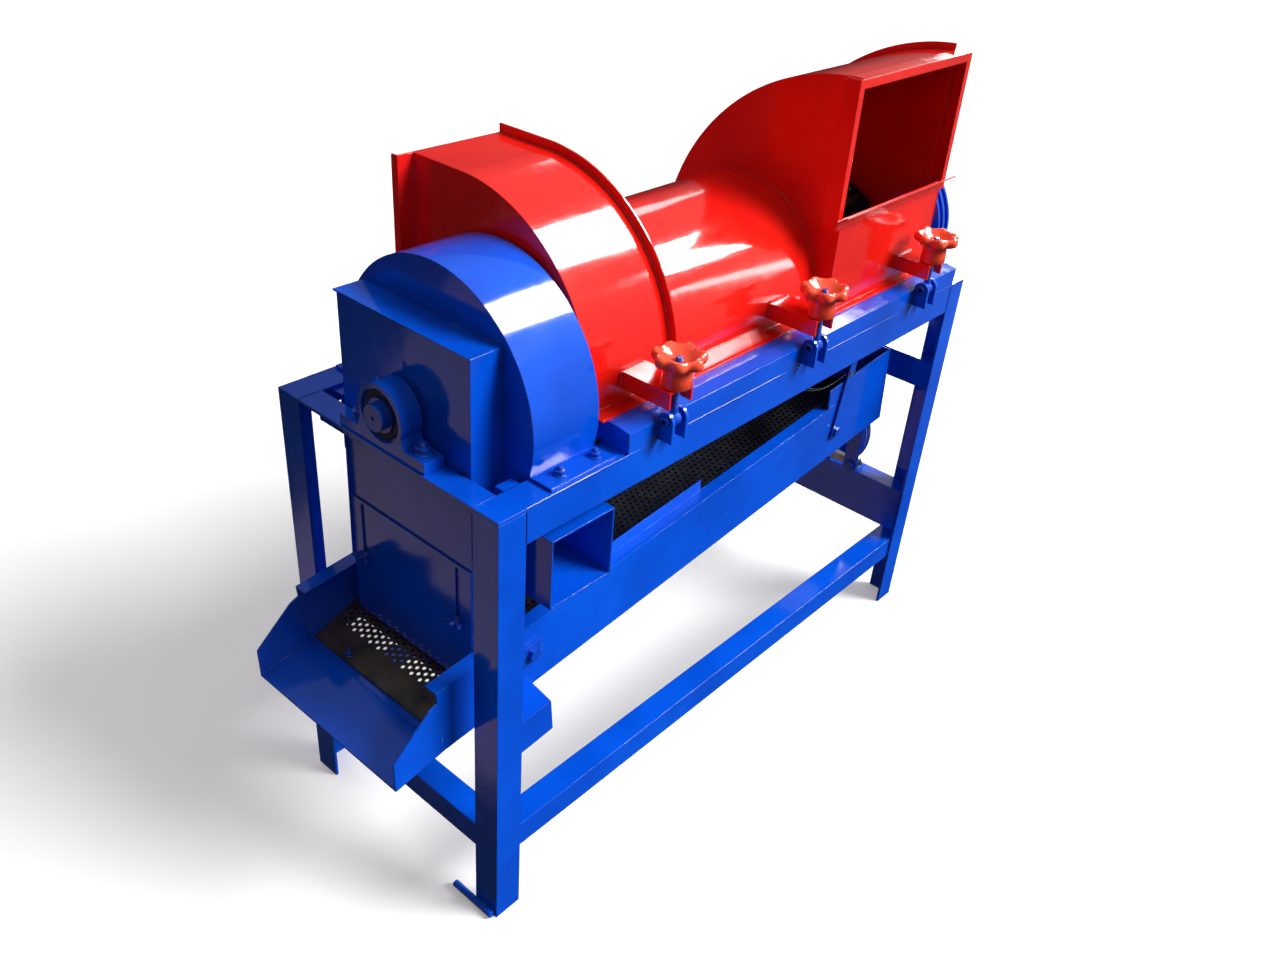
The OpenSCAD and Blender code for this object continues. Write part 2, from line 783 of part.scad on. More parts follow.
module star_knob(i) {
    lobes = 7;
    lobe_r = 11;
    dish = 10;
    color("orangered") placed() translate([clamp_xs[i], clamp_y, knob_z0]) difference() {
        union() {
            cylinder(r1 = 23, r2 = 20, h = knob_stem_h + 1);
            translate([0, 0, knob_stem_h]) linear_extrude(height = knob_cap_h) {
                circle(r = knob_r - lobe_r);
                for (k = [0:lobes - 1]) rotate(k * 360 / lobes - 90)
                    translate([knob_r - lobe_r, 0]) circle(r = lobe_r);
            }
        }
        translate([0, 0, -1]) cylinder(r = bolt_r + run_gap, h = knob_stem_h + 16);
        translate([0, 0, knob_stem_h + knob_cap_h - dish]) cylinder(r1 = 16, r2 = knob_r - 7, h = dish + 0.01);
    }
}

// ---------- sieve tray ----------

module tray_sides() {
    guard_s = [285, 622];
    guard_h = 22;
    color(BLUE) placed() on_tray() for (back = [false, true]) difference() {
        union() {
            side_slab(0, tray_l, tray_y0, tray_y0 + tray_t, 0, tray_h, back);
            side_slab(0, raised_s, tray_y0, tray_y0 + tray_flange, tray_h - tray_t, tray_h, back);
            side_slab(raised_s, tray_l, tray_y0, tray_y0 + tray_t, 0, raised_h, back);
            side_slab(guard_s[0], guard_s[1], tray_y0 + tray_flange - 2, tray_y0 + tray_flange,
                tray_h - 1, tray_h + guard_h, back);
        }
        for (x = hanger_xs) {
            p = strap_foot(x);
            bar_y(-1, frame_w + 1, p[0], p[1], pin_r);
        }
    }
}

// Tray position of the lower bolt of the hanger whose upper bolt is at x
function strap_foot(x) =
    let (dx = x - strap_low_dx(x) - tray_x0, dz = strap_low_z(x) - tray_z0)
    [dx * cos(tray_tilt) + dz * sin(tray_tilt), dz * cos(tray_tilt) - dx * sin(tray_tilt)];
function strap_low_dx(x) = x > frame_l / 2 ? strap_lean[1] : strap_lean[0];
function strap_low_z(x) = tray_z0 + (x - strap_low_dx(x) - tray_x0) * tan(tray_tilt) + strap_low_h;

module tray_floor() {
    lug_x = 1135;
    y0 = tray_y0 + tray_t;
    y1 = tray_y1 - tray_t;
    color(BLUE) placed() {
        on_tray() {
            difference() {
                slab([0, y0, 0], [tray_l, y1, tray_t]);
                slab([spout_s0 + 2, y0 + 5, -1], [spout_s0 + spout_w - 2, y0 + 90, tray_t + 1]);
                slab([14, y0 + 12, -1], [spout_s0 - 8, y1 - 12, tray_t + 1]);
            }
            slab([tray_l - tray_t, y0, 0], [tray_l, y1, raised_h]);
        }
        difference() {
            slab([lug_x, rod_y - 16, ecc_z - 14], [lug_x + 6, rod_y + 16, 476]);
            bar_x(lug_x - 1, lug_x + 7, rod_y, ecc_z, rod_pin_r);
            on_tray() slab([tray_l - 100, 0, 0], [tray_l + 50, frame_w, 100]);
        }
    }
}

module sieve_screen() {
    color(DARK) placed() on_tray()
        slab([tail_s1 + 1, tray_y0 + tray_t, screen_h - 2], [tray_l - tray_t, tray_y1 - tray_t, screen_h]);
}

module tail_sieve() {
    rise = screen_h - 2 - tail_h0;
    color(DARK) placed() on_tray() xz(tray_y0 + tray_t, tray_w - 2 * tray_t)
        polygon([[tail_s0, tail_h0], [tail_s1, tail_h0 + rise], [tail_s1, tail_h0 + rise + 2],
            [tail_s0, tail_h0 + 2]]);
}

module chute() {
    drop = 9;
    side_top = 102;
    lip_h = 45;
    color(BLUE) placed() on_tray() {
        for (y = [tray_y0, tray_y1 - tray_t]) xz(y, tray_t)
            polygon([[0, 0], [0, side_top], [-16, side_top - 5], [-88, lip_h], [-chute_reach, -drop]]);
        xz(tray_y0, tray_w)
            polygon([[0, 0], [0, tray_t], [-chute_reach, tray_t - drop], [-chute_reach, -drop]]);
    }
}

module grain_spout() {
    t = 2.5;
    color(BLUE) placed() on_tray() difference() {
        yz(spout_s0, spout_w)
            polygon([[20, -57], [20, 5], [tray_y0, 20], [tray_y0, 0], [172, 0], [172, -6], [86, -42], [84, -57]]);
        yz(spout_s0 + t, spout_w - 2 * t)
            polygon([[20 + t, -58], [20 + t, 5 - t], [tray_y0 + 0.1, 20 - t], [tray_y0 + 0.1, 0.1], [168, 0.1],
                [168, -4], [84, -40], [81, -58]]);
    }
}

module tray_bolts() {
    pad_s = 182;
    pad_h = 70;
    color(STEEL) placed() {
        on_tray() {
            for (x = hanger_xs, back = [false, true]) {
                p = strap_foot(x);
                y = [for (v = [tray_y0, strap_y + strap_t + 0.4, strap_y - 0.5, 60.5]) across(v, back)];
                bar_y(min(y[0], y[3]), max(y[0], y[3]), p[0], p[1], pin_r);
                bar_y(min(y[0], y[1]), max(y[0], y[1]), p[0], p[1], 10);
                hex_y(min(y[2], y[3]), max(y[2], y[3]), p[0], p[1], 9);
            }
            slab([pad_s - 19, tray_y0 - 5, pad_h - 19], [pad_s + 19, tray_y0, pad_h + 19]);
            hex_y(tray_y0 - 13, tray_y0 - 5, pad_s, pad_h, 11);
        }
        bar_x(1127, 1166, rod_y, ecc_z, rod_pin_r);
        hex_x(1128, 1135, rod_y, ecc_z, 12);
        hex_x(1159, 1166, rod_y, ecc_z, 12);
    }
}

// Flat strap that hangs one corner of the tray from a top rail
module hanger(i, back) {
    x = hanger_xs[i];
    y = back ? frame_w - strap_y - strap_t : strap_y;
    dx = strap_low_dx(x);
    dz = strap_top_z - strap_low_z(x);
    lean = atan2(dx, dz);
    reach = norm([dx, dz]);
    color(BLUE) placed() difference() {
        translate([x, y, strap_top_z]) rotate([0, lean, 0])
            slab([-strap_w / 2, 0, -reach - 16], [strap_w / 2, strap_t, 16]);
        bar_y(-1, frame_w + 1, x, strap_top_z, pin_r + 0.5);
        bar_y(-1, frame_w + 1, x - dx, strap_low_z(x), pin_r + 0.5);
    }
}

// ---------- sieve drive ----------

module eccentric_housing() {
    x0 = 1198;
    w = 40;
    color(BLUE) placed() difference() {
        yz(x0, w) {
            translate([axis_y - 50, drive_z]) square([100, 12]);
            translate([axis_y, ecc_z]) circle(r = 26);
            translate([axis_y - 22, drive_z + 2]) square([44, ecc_z - drive_z]);
        }
        bar_x(x0 - 1, x0 + w + 1, axis_y, ecc_z, ecc_r + run_gap);
    }
}

module eccentric_shaft() {
    color(STEEL) placed() {
        bar_x(crank_x + 22, 1282, axis_y, ecc_z, ecc_r);
        bar_x(crank_x + 18, crank_x + 28, axis_y, ecc_z, 24);
        bar_x(crank_x, crank_x + 20, axis_y, ecc_z + throw, crank_pin_r);
    }
}

module eccentric_pulley() {
    color(BLUE) placed() translate([0, axis_y, ecc_z]) difference() {
        grooved_rim(belt_x, ecc_pulley_r + groove_h, ecc_pulley_r);
        bar_x(belt_x - 20, belt_x - 3, 0, 0, 78);
        bar_x(belt_x + 3, belt_x + 20, 0, 0, 78);
        bar_x(belt_x - 20, belt_x + 20, 0, 0, ecc_r);
    }
    color(BLUE) placed() translate([0, axis_y, ecc_z]) difference() {
        bar_x(belt_x - 12, belt_x + 12, 0, 0, 26);
        bar_x(belt_x - 20, belt_x + 20, 0, 0, ecc_r);
    }
}

// Outline round both pulleys at height g above their groove bottoms
module belt_loop(g) {
    r1 = sieve_pulley_r + g;
    r2 = ecc_pulley_r + g;
    b = asin((r2 - r1) / (axis_z - ecc_z));
    n = [cos(b), sin(b)];
    translate([axis_y, axis_z]) circle(r = r1);
    translate([axis_y, ecc_z]) circle(r = r2);
    polygon([[axis_y + r1 * n[0], axis_z + r1 * n[1]], [axis_y - r1 * n[0], axis_z + r1 * n[1]],
        [axis_y - r2 * n[0], ecc_z + r2 * n[1]], [axis_y + r2 * n[0], ecc_z + r2 * n[1]]]);
}

module drive_belt() {
    color("black") placed() yz(belt_x - belt_w / 2, belt_w) difference() {
        belt_loop(belt_gap + belt_t);
        belt_loop(belt_gap);
    }
}

// Rod from the tray's lug to the crank, with a big end wide enough for the whole throw
module pitman() {
    w = 14;
    x0 = 1144;
    big_r = crank_pin_r + 3 * throw + 0.5;
    crank_w = 14;
    color(STEEL) placed() difference() {
        union() {
            bar_x(x0, x0 + w, rod_y, ecc_z, 17);
            slab([x0, rod_y, ecc_z - 9], [x0 + w, axis_y - big_r - 2, ecc_z + 9]);
            bar_x(x0, crank_x + crank_w, axis_y, ecc_z, big_r + 9);
        }
        bar_x(x0 - 1, x0 + w + 1, rod_y, ecc_z, rod_pin_r + run_gap);
        bar_x(x0 + w - 4, crank_x + 30, axis_y, ecc_z, big_r);
    }
}

// ---------- fixed fasteners ----------

module fixed_bolts() {
    color(STEEL) placed() {
        for (x = fan_bolt_x, back = [false, true]) translate([x, across(fan_bolt_y, back), 0]) {
            translate([0, 0, frame_h - 12]) cylinder(r = 5, h = 22);
            translate([0, 0, frame_h + 5]) cylinder(r = 10, h = 2);
            translate([0, 0, frame_h + 7]) cylinder(r = 8.5, h = 7, $fn = 6);
        }
        for (x = [block_inset, frame_l - block_inset], s = [-1, 1])
            translate([x, axis_y + s * block_bolt_off, 0]) {
                translate([0, 0, frame_h - 16]) cylinder(r = block_bolt_r, h = 40);
                translate([0, 0, frame_h + block_base_h]) cylinder(r = 14, h = 2.5);
                translate([0, 0, frame_h + block_base_h + 2.5]) cylinder(r = 12, h = 9, $fn = 6);
            }
        for (s = [-1, 1])
            bar_x(duct_x0 - 19, duct_x0, axis_y + s * stud_off, stud_z, stud_r);
        for (x = hanger_xs, back = [false, true]) {
            y = [for (v = [60, strap_y - 0.8, 80]) across(v, back)];
            bar_y(min(y[0], y[2]), max(y[0], y[2]), x, strap_top_z, pin_r);
            hex_y(min(y[0], y[1]), max(y[0], y[1]), x, strap_top_z, 9);
        }
    }
}

leg(0, 0, 1, 1);  // leg_near_front
leg(0, frame_w, 1, -1);  // leg_near_back
leg(frame_l, 0, -1, 1);  // leg_far_front
leg(frame_l, frame_w, -1, -1);  // leg_far_back
top_rail(false);  // top_rail_front
top_rail(true);  // top_rail_back
end_rail(0, 1);  // end_rail_near
end_rail(frame_l, -1);  // end_rail_far
lower_rails();
lower_cross_rail();
far_cross_members();
foot_bar();
side_members();
intake_box();
fan_housing();
suction_duct();
slide_gate();
wing_nut(-1);  // wing_nut_front
wing_nut(1);  // wing_nut_back
pillow_block(block_inset);  // pillow_block_near
pillow_block(frame_l - block_inset);  // pillow_block_far
bearing_outer_rings();
bearing_inner_rings();
drum_shaft();
drum_discs();
peg_bars();
fan_wheel();
stepped_pulley();
drum_screen();
end_plates();
drum_cover();
discharge_housing();
feed_hopper();
clamp_brackets();
cover_hinges();
clevises();
clevis_pins();
swing_bolt(0);  // swing_bolt_near
swing_bolt(1);  // swing_bolt_mid
swing_bolt(2);  // swing_bolt_far
star_knob(0);  // star_knob_near
star_knob(1);  // star_knob_mid
star_knob(2);  // star_knob_far
tray_sides();
tray_floor();
sieve_screen();
tail_sieve();
chute();
grain_spout();
tray_bolts();
hanger(0, false);  // hanger_near_front
hanger(0, true);  // hanger_near_back
hanger(1, false);  // hanger_far_front
hanger(1, true);  // hanger_far_back
eccentric_housing();
eccentric_shaft();
eccentric_pulley();
drive_belt();
pitman();
fixed_bolts();
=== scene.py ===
"""Looks of the grain sheller: enamel, perforated screens, knobs, fasteners, welds, studio and camera."""
import json
import math
import random

import bmesh
import bpy
from mathutils import Matrix, Vector


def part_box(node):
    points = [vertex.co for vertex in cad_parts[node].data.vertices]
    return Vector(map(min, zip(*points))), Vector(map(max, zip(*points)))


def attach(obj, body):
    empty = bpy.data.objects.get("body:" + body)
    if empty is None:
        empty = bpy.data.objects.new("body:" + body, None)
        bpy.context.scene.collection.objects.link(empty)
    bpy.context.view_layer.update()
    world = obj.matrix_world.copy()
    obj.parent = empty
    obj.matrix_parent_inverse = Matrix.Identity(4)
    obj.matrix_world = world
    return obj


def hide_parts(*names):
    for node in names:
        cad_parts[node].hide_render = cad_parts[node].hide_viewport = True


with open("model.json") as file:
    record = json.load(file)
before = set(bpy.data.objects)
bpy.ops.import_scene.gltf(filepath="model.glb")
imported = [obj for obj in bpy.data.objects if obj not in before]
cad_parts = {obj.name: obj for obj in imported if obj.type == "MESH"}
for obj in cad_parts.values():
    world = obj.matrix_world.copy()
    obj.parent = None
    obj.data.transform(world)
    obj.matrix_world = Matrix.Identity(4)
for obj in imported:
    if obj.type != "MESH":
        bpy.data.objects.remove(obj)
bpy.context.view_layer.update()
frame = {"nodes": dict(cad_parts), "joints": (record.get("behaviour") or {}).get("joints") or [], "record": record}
NODES = frame["nodes"]
SCENE = bpy.context.scene
MM = 0.001
# Where the drawing's zero lies in the row frame: the stand's corner at the fan end, front side, floor
OFFSET = Vector([round(c, 5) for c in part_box("leg_near_front")[0]])


def at(x, y, z):
    """Row-frame point, in metres, of a drawing point in millimetres."""
    return Vector((x * MM, y * MM, z * MM)) + OFFSET


def drawing(point):
    """Drawing point, in millimetres, of a row-frame point in metres."""
    return [round((c - o) / MM, 1) for c, o in zip(point, OFFSET)]


def span(node):
    """Lowest and highest corner of a CAD node in the drawing."""
    return [drawing(corner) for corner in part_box(node)]


def middle(node):
    """Centre of a CAD node in the drawing."""
    return [(a + b) / 2.0 for a, b in zip(*span(node))]


def pivot(joint):
    """Place of a joint in the drawing."""
    return drawing(next(entry["pos_m"] for entry in frame["joints"] if entry["name"] == joint))


# ---------- materials ----------

# Colour sockets of a Mix node, whose first socket is its factor
MIX_A, MIX_B, MIX_RESULT = 6, 7, 2


class Graph:
    """Small helper that adds and joins shader nodes."""

    def __init__(self, name):
        self.mat = bpy.data.materials.new(name)
        self.mat.use_nodes = True
        self.tree = self.mat.node_tree
        self.tree.nodes.clear()
        self.out = self.add("ShaderNodeOutputMaterial")
        self.bsdf = self.add("ShaderNodeBsdfPrincipled")
        self.join(self.bsdf, "BSDF", self.out, "Surface")
        coord = self.add("ShaderNodeTexCoord")
        self.place = coord.outputs["Object"]

    def add(self, kind, **values):
        node = self.tree.nodes.new(kind)
        for key, value in values.items():
            setattr(node, key, value)
        return node

    def join(self, a, out, b, inp):
        self.tree.links.new(a.outputs[out], b.inputs[inp])

    def link(self, socket, b, inp):
        self.tree.links.new(socket, b.inputs[inp])

    def noise(self, scale, detail=3.0, rough=0.5, stretch=None):
        """Noise over the object's own place; stretch scales that place axis by axis first."""
        node = self.add("ShaderNodeTexNoise")
        node.inputs["Scale"].default_value = scale
        node.inputs["Detail"].default_value = detail
        node.inputs["Roughness"].default_value = rough
        place = self.place
        if stretch:
            mapping = self.add("ShaderNodeMapping")
            mapping.inputs["Scale"].default_value = stretch
            self.link(place, mapping, "Vector")
            place = mapping.outputs["Vector"]
        self.link(place, node, "Vector")
        return node.outputs["Fac"]

    def ramp(self, socket, stops):
        """Colour ramp; each stop is a position with a grey number or a colour."""
        node = self.add("ShaderNodeValToRGB")
        ramp = node.color_ramp
        while len(ramp.elements) < len(stops):
            ramp.elements.new(0.5)
        for element, (position, value) in zip(ramp.elements, stops):
            element.position = position
            grey = isinstance(value, (int, float))
            element.color = (value, value, value, 1.0) if grey else (*value, 1.0)
        self.link(socket, node, "Fac")
        return node.outputs["Color"]

    def math(self, kind, a, b):
        node = self.add("ShaderNodeMath", operation=kind)
        for index, value in enumerate((a, b)):
            if isinstance(value, (int, float)):
                node.inputs[index].default_value = value
            else:
                self.tree.links.new(value, node.inputs[index])
        return node.outputs["Value"]

    def mix(self, fac, a, b):
        node = self.add("ShaderNodeMix", data_type="RGBA")
        self.link(fac, node, 0)
        for index, value in ((MIX_A, a), (MIX_B, b)):
            if isinstance(value, tuple):
                node.inputs[index].default_value = (*value, 1.0)
            else:
                self.tree.links.new(value, node.inputs[index])
        return node.outputs[MIX_RESULT]

    def edges(self, radius, low, high):
        """1 along sharp edges, 0 on flats."""
        bevel = self.add("ShaderNodeBevel", samples=4)
        bevel.inputs["Radius"].default_value = radius
        geometry = self.add("ShaderNodeNewGeometry")
        dot = self.add("ShaderNodeVectorMath", operation="DOT_PRODUCT")
        self.link(bevel.outputs["Normal"], dot, 0)
        self.link(geometry.outputs["Normal"], dot, 1)
        return self.ramp(self.math("SUBTRACT", 1.0, dot.outputs["Value"]), [(low, 0.0), (high, 1.0)])

    def bump(self, parts, radius=0.0012):
        """Bump from (socket, distance) parts over softened edges."""
        bevel = self.add("ShaderNodeBevel", samples=4)
        bevel.inputs["Radius"].default_value = radius
        normal = bevel.outputs["Normal"]
        for socket, distance in parts:
            node = self.add("ShaderNodeBump")
            node.inputs["Strength"].default_value = 1.0
            node.inputs["Distance"].default_value = distance
            self.link(socket, node, "Height")
            self.link(normal, node, "Normal")
            normal = node.outputs["Normal"]
        self.link(normal, self.bsdf, "Normal")


def enamel(name, deep, base, pale, chip, gloss=0.09, dents=0.0012, edge=0.0024, streaks=0.0, coat=0.6):
    """Brushed-on gloss enamel: orange peel, sags, dents in the sheet, specks and worn edges.

    gloss is its roughness, dents and streaks are heights of its bump, edge is the radius of its corners.
    """
    g = Graph(name)
    broad = g.noise(5.0, 4.0, 0.55)
    fine = g.noise(60.0, 3.0, 0.6)
    runs = g.noise(9.0, 3.0, 0.5, stretch=(1.0, 1.0, 0.18))
    tone = g.ramp(broad, [(0.25, deep), (0.52, base), (0.8, pale)])
    worn = g.math("MULTIPLY", g.edges(0.0016, 0.10, 0.45), g.ramp(fine, [(0.52, 0.0), (0.66, 1.0)]))
    specks = g.ramp(g.noise(210.0, 2.0, 0.6), [(0.70, 0.0), (0.76, 0.55)])
    patch = g.ramp(g.noise(3.0, 3.0, 0.6), [(0.5, 0.0), (0.72, 1.0)])
    marks = g.math("MAXIMUM", worn, g.math("MULTIPLY", specks, patch))
    g.link(g.mix(marks, tone, chip), g.bsdf, "Base Color")
    rough = g.ramp(fine, [(0.3, gloss), (0.75, gloss + 0.07)])
    g.link(g.mix(marks, rough, WORN_ROUGHNESS), g.bsdf, "Roughness")
    g.bsdf.inputs["Coat Weight"].default_value = coat
    g.bsdf.inputs["Coat Roughness"].default_value = 0.06
    waves = [(broad, dents), (runs, 0.0003), (g.noise(260.0, 2.0, 0.5), 0.00003), (fine, 0.00007)]
    if streaks:
        waves.append((g.noise(1.0, 3.0, 0.55, stretch=(3.0, 17.0, 17.0)), streaks))
    g.bump(waves, edge)
    return g.mat


def bare_metal(name, tone, stain, rough=0.3, grain=(1.0, 1.0, 1.0), metallic=1.0):
    """Turned or rolled steel with stains and tool marks."""
    g = Graph(name)
    cloud = g.noise(22.0, 5.0, 0.6)
    lines = g.noise(160.0, 3.0, 0.6, stretch=grain)
    g.link(g.ramp(cloud, [(0.3, stain), (0.6, tone)]), g.bsdf, "Base Color")
    g.link(g.ramp(lines, [(0.2, rough), (0.85, rough + 0.22)]), g.bsdf, "Roughness")
    g.bsdf.inputs["Metallic"].default_value = metallic
    g.bump([(lines, 0.00006), (cloud, 0.0002)], 0.0006)
    return g.mat


def moulded(name, base, pale, rough=0.28):
    """Moulded plastic with a fine grain, flow marks and scuffed edges."""
    g = Graph(name)
    flow = g.noise(14.0, 4.0, 0.55)
    grain = g.noise(420.0, 2.0, 0.5)
    patch = g.edges(0.002, 0.06, 0.4)
    scuff = g.math("MULTIPLY", patch, g.ramp(g.noise(90.0), [(0.42, 0.0), (0.62, 0.8)]))
    tone = g.ramp(flow, [(0.3, base), (0.75, pale)])
    g.link(g.mix(scuff, tone, SCUFFED_PLASTIC), g.bsdf, "Base Color")
    g.link(g.ramp(grain, [(0.3, rough), (0.7, rough + 0.1)]), g.bsdf, "Roughness")
    g.bsdf.inputs["Coat Weight"].default_value = 0.5
    g.bsdf.inputs["Coat Roughness"].default_value = 0.05
    g.bsdf.inputs["Subsurface Weight"].default_value = 0.08
    g.bsdf.inputs["Subsurface Radius"].default_value = (0.006, 0.002, 0.001)
    g.bump([(grain, 0.00002), (flow, 0.0003)], 0.002)
    return g.mat


def rubbery(name, base, rough=0.65):
    """Dark rubber, a little dusty."""
    g = Graph(name)
    dust = g.noise(40.0, 5.0, 0.65)
    dusty = tuple(c * 2.2 + 0.01 for c in base)
    g.link(g.ramp(dust, [(0.45, base), (0.8, dusty)]), g.bsdf, "Base Color")
    g.link(g.ramp(dust, [(0.3, rough - 0.12), (0.7, rough + 0.1)]), g.bsdf, "Roughness")
    g.bump([(g.noise(500.0, 2.0), 0.00004)], 0.0006)
    return g.mat


WORN_ROUGHNESS = (0.62, 0.62, 0.62)
SCUFFED_PLASTIC = (0.95, 0.42, 0.30)
CHIP = (0.16, 0.15, 0.15)
SMALL_RED_CHIP = (0.30, 0.28, 0.28)
SMALL_REDS = ((0.60, 0.006, 0.004), (0.80, 0.012, 0.007), (0.90, 0.03, 0.015))
BLUE = enamel("blue_enamel", (0.001, 0.060, 0.52), (0.001, 0.090, 0.72), (0.002, 0.120, 0.86), CHIP,
              streaks=0.0005)
RED = enamel("red_enamel", (0.66, 0.006, 0.004), (0.86, 0.012, 0.007), (0.94, 0.025, 0.012), CHIP,
             dents=0.0014, streaks=0.0011)
BLUE_METAL = enamel("blue_on_steel", (0.001, 0.040, 0.36), (0.002, 0.070, 0.56), (0.004, 0.100, 0.72),
                    (0.30, 0.30, 0.32), gloss=0.16, dents=0.0002, edge=0.0010)
ZINC = bare_metal("zinc_plate", (0.62, 0.61, 0.57), (0.30, 0.29, 0.27), 0.28)
BRIGHT = bare_metal("turned_steel", (0.58, 0.57, 0.56), (0.34, 0.32, 0.30), 0.22, (6.0, 0.3, 0.3))
DARK = bare_metal("black_sheet", (0.045, 0.046, 0.05), (0.02, 0.02, 0.022), 0.34, metallic=0.7)
SCREEN = bare_metal("screen_sheet", (0.075, 0.072, 0.070), (0.022, 0.022, 0.024), 0.30, metallic=0.8)
TAIL = bare_metal("oiled_sheet", (0.115, 0.110, 0.092), (0.036, 0.038, 0.042), 0.28, metallic=0.5)
RED_METAL = enamel("red_on_weld", *SMALL_REDS, SMALL_RED_CHIP, gloss=0.16, dents=0.0002, edge=0.0010)
# Brushed on thin, so that it shines less
RED_THIN = enamel("red_thin_coat", *SMALL_REDS, SMALL_RED_CHIP, gloss=0.44, dents=0.0002, edge=0.0010,
                  coat=0.08)
KNOB = moulded("knob_plastic", (0.94, 0.065, 0.026), (1.0, 0.135, 0.060), 0.12)
BELT = rubbery("belt_rubber", (0.012, 0.012, 0.012))
SEAL = rubbery("seal_rubber", (0.004, 0.010, 0.040), 0.4)

BY_SLOT = {"blue_paint": BLUE, "red_paint": RED, "zinc_steel": BLUE_METAL, "bright_steel": BRIGHT,
           "dark_steel": DARK, "knob_plastic": KNOB, "belt_rubber": BELT}
PAINTED_OVER = ("bearing_outer_rings", "bearing_inner_rings", "drum_shaft")
for entry in frame["record"]["subparts"]:
    skin = NODES[entry["node"]].data.materials
    skin.clear()
    skin.append(BLUE_METAL if entry["node"] in PAINTED_OVER else BY_SLOT[entry["material_slot"]])

# ---------- the drawing, in millimetres ----------

X, Z = (1.0, 0.0, 0.0), (0.0, 0.0, 1.0)
FRAME_L, FRAME_W = span("top_rail_front")[1][0], span("leg_near_back")[1][1]
RAIL_TOP, RAIL_UNDER = span("top_rail_front")[1][2], span("leg_near_front")[1][2]
# The tray's own frame starts at the foot of its sides, where the husk chute ends
TILT = math.radians(5.6)
TRAY_X0, TRAY_Z0 = span("chute")[1][0], span("tray_sides")[0][2]
TRAY_Y0 = span("sieve_screen")[0][1]
TRAY_WIDTH = span("sieve_screen")[1][1] - TRAY_Y0
AXLE_Y, AXLE_Z = pivot("drum_spin")[1:]
BEARING_XS = (middle("pillow_block_near")[0], middle("pillow_block_far")[0])
COVER_R = 172.0
COVER_Z = span("drum_cover")[1][2] - COVER_R
CLAMPS = ("near", "mid", "far")
CLAMP_XS = [pivot("clamp_" + name + "_swing")[0] for name in CLAMPS]
CLAMP_Y, PIN_Z = pivot("clamp_mid_swing")[1:]
KNOB_Z = span("star_knob_mid")[0][2]
STUD_YS = (middle("wing_nut_front")[1], middle("wing_nut_back")[1])
STUD_Z = middle("wing_nut_front")[2]
STRAP_XS = (pivot("hanger_near_front_swing")[0], pivot("hanger_far_front_swing")[0])
STRAP_Z = pivot("hanger_near_front_swing")[2]


def on_tray(s, y, h):
    """Drawing point of a point in the tray's sloping frame: s along its floor, h above it."""
    return (TRAY_X0 + s * math.cos(TILT) - h * math.sin(TILT), y,
            TRAY_Z0 + s * math.sin(TILT) + h * math.cos(TILT))


def plain(x, y, z):
    return (x, y, z)


# ---------- mesh helpers ----------

DICE = random.Random(11)
WELD_STEP, RIPPLE = 1.5, 4.2


def arc(x, y, z, radius, start, stop, count):
    """Points in a YZ plane round (y, z); angles in degrees, 0 towards the back, 90 up."""
    turns = (math.radians(start + (stop - start) * i / (count - 1)) for i in range(count))
    return [(x, y + radius * math.cos(t), z + radius * math.sin(t)) for t in turns]


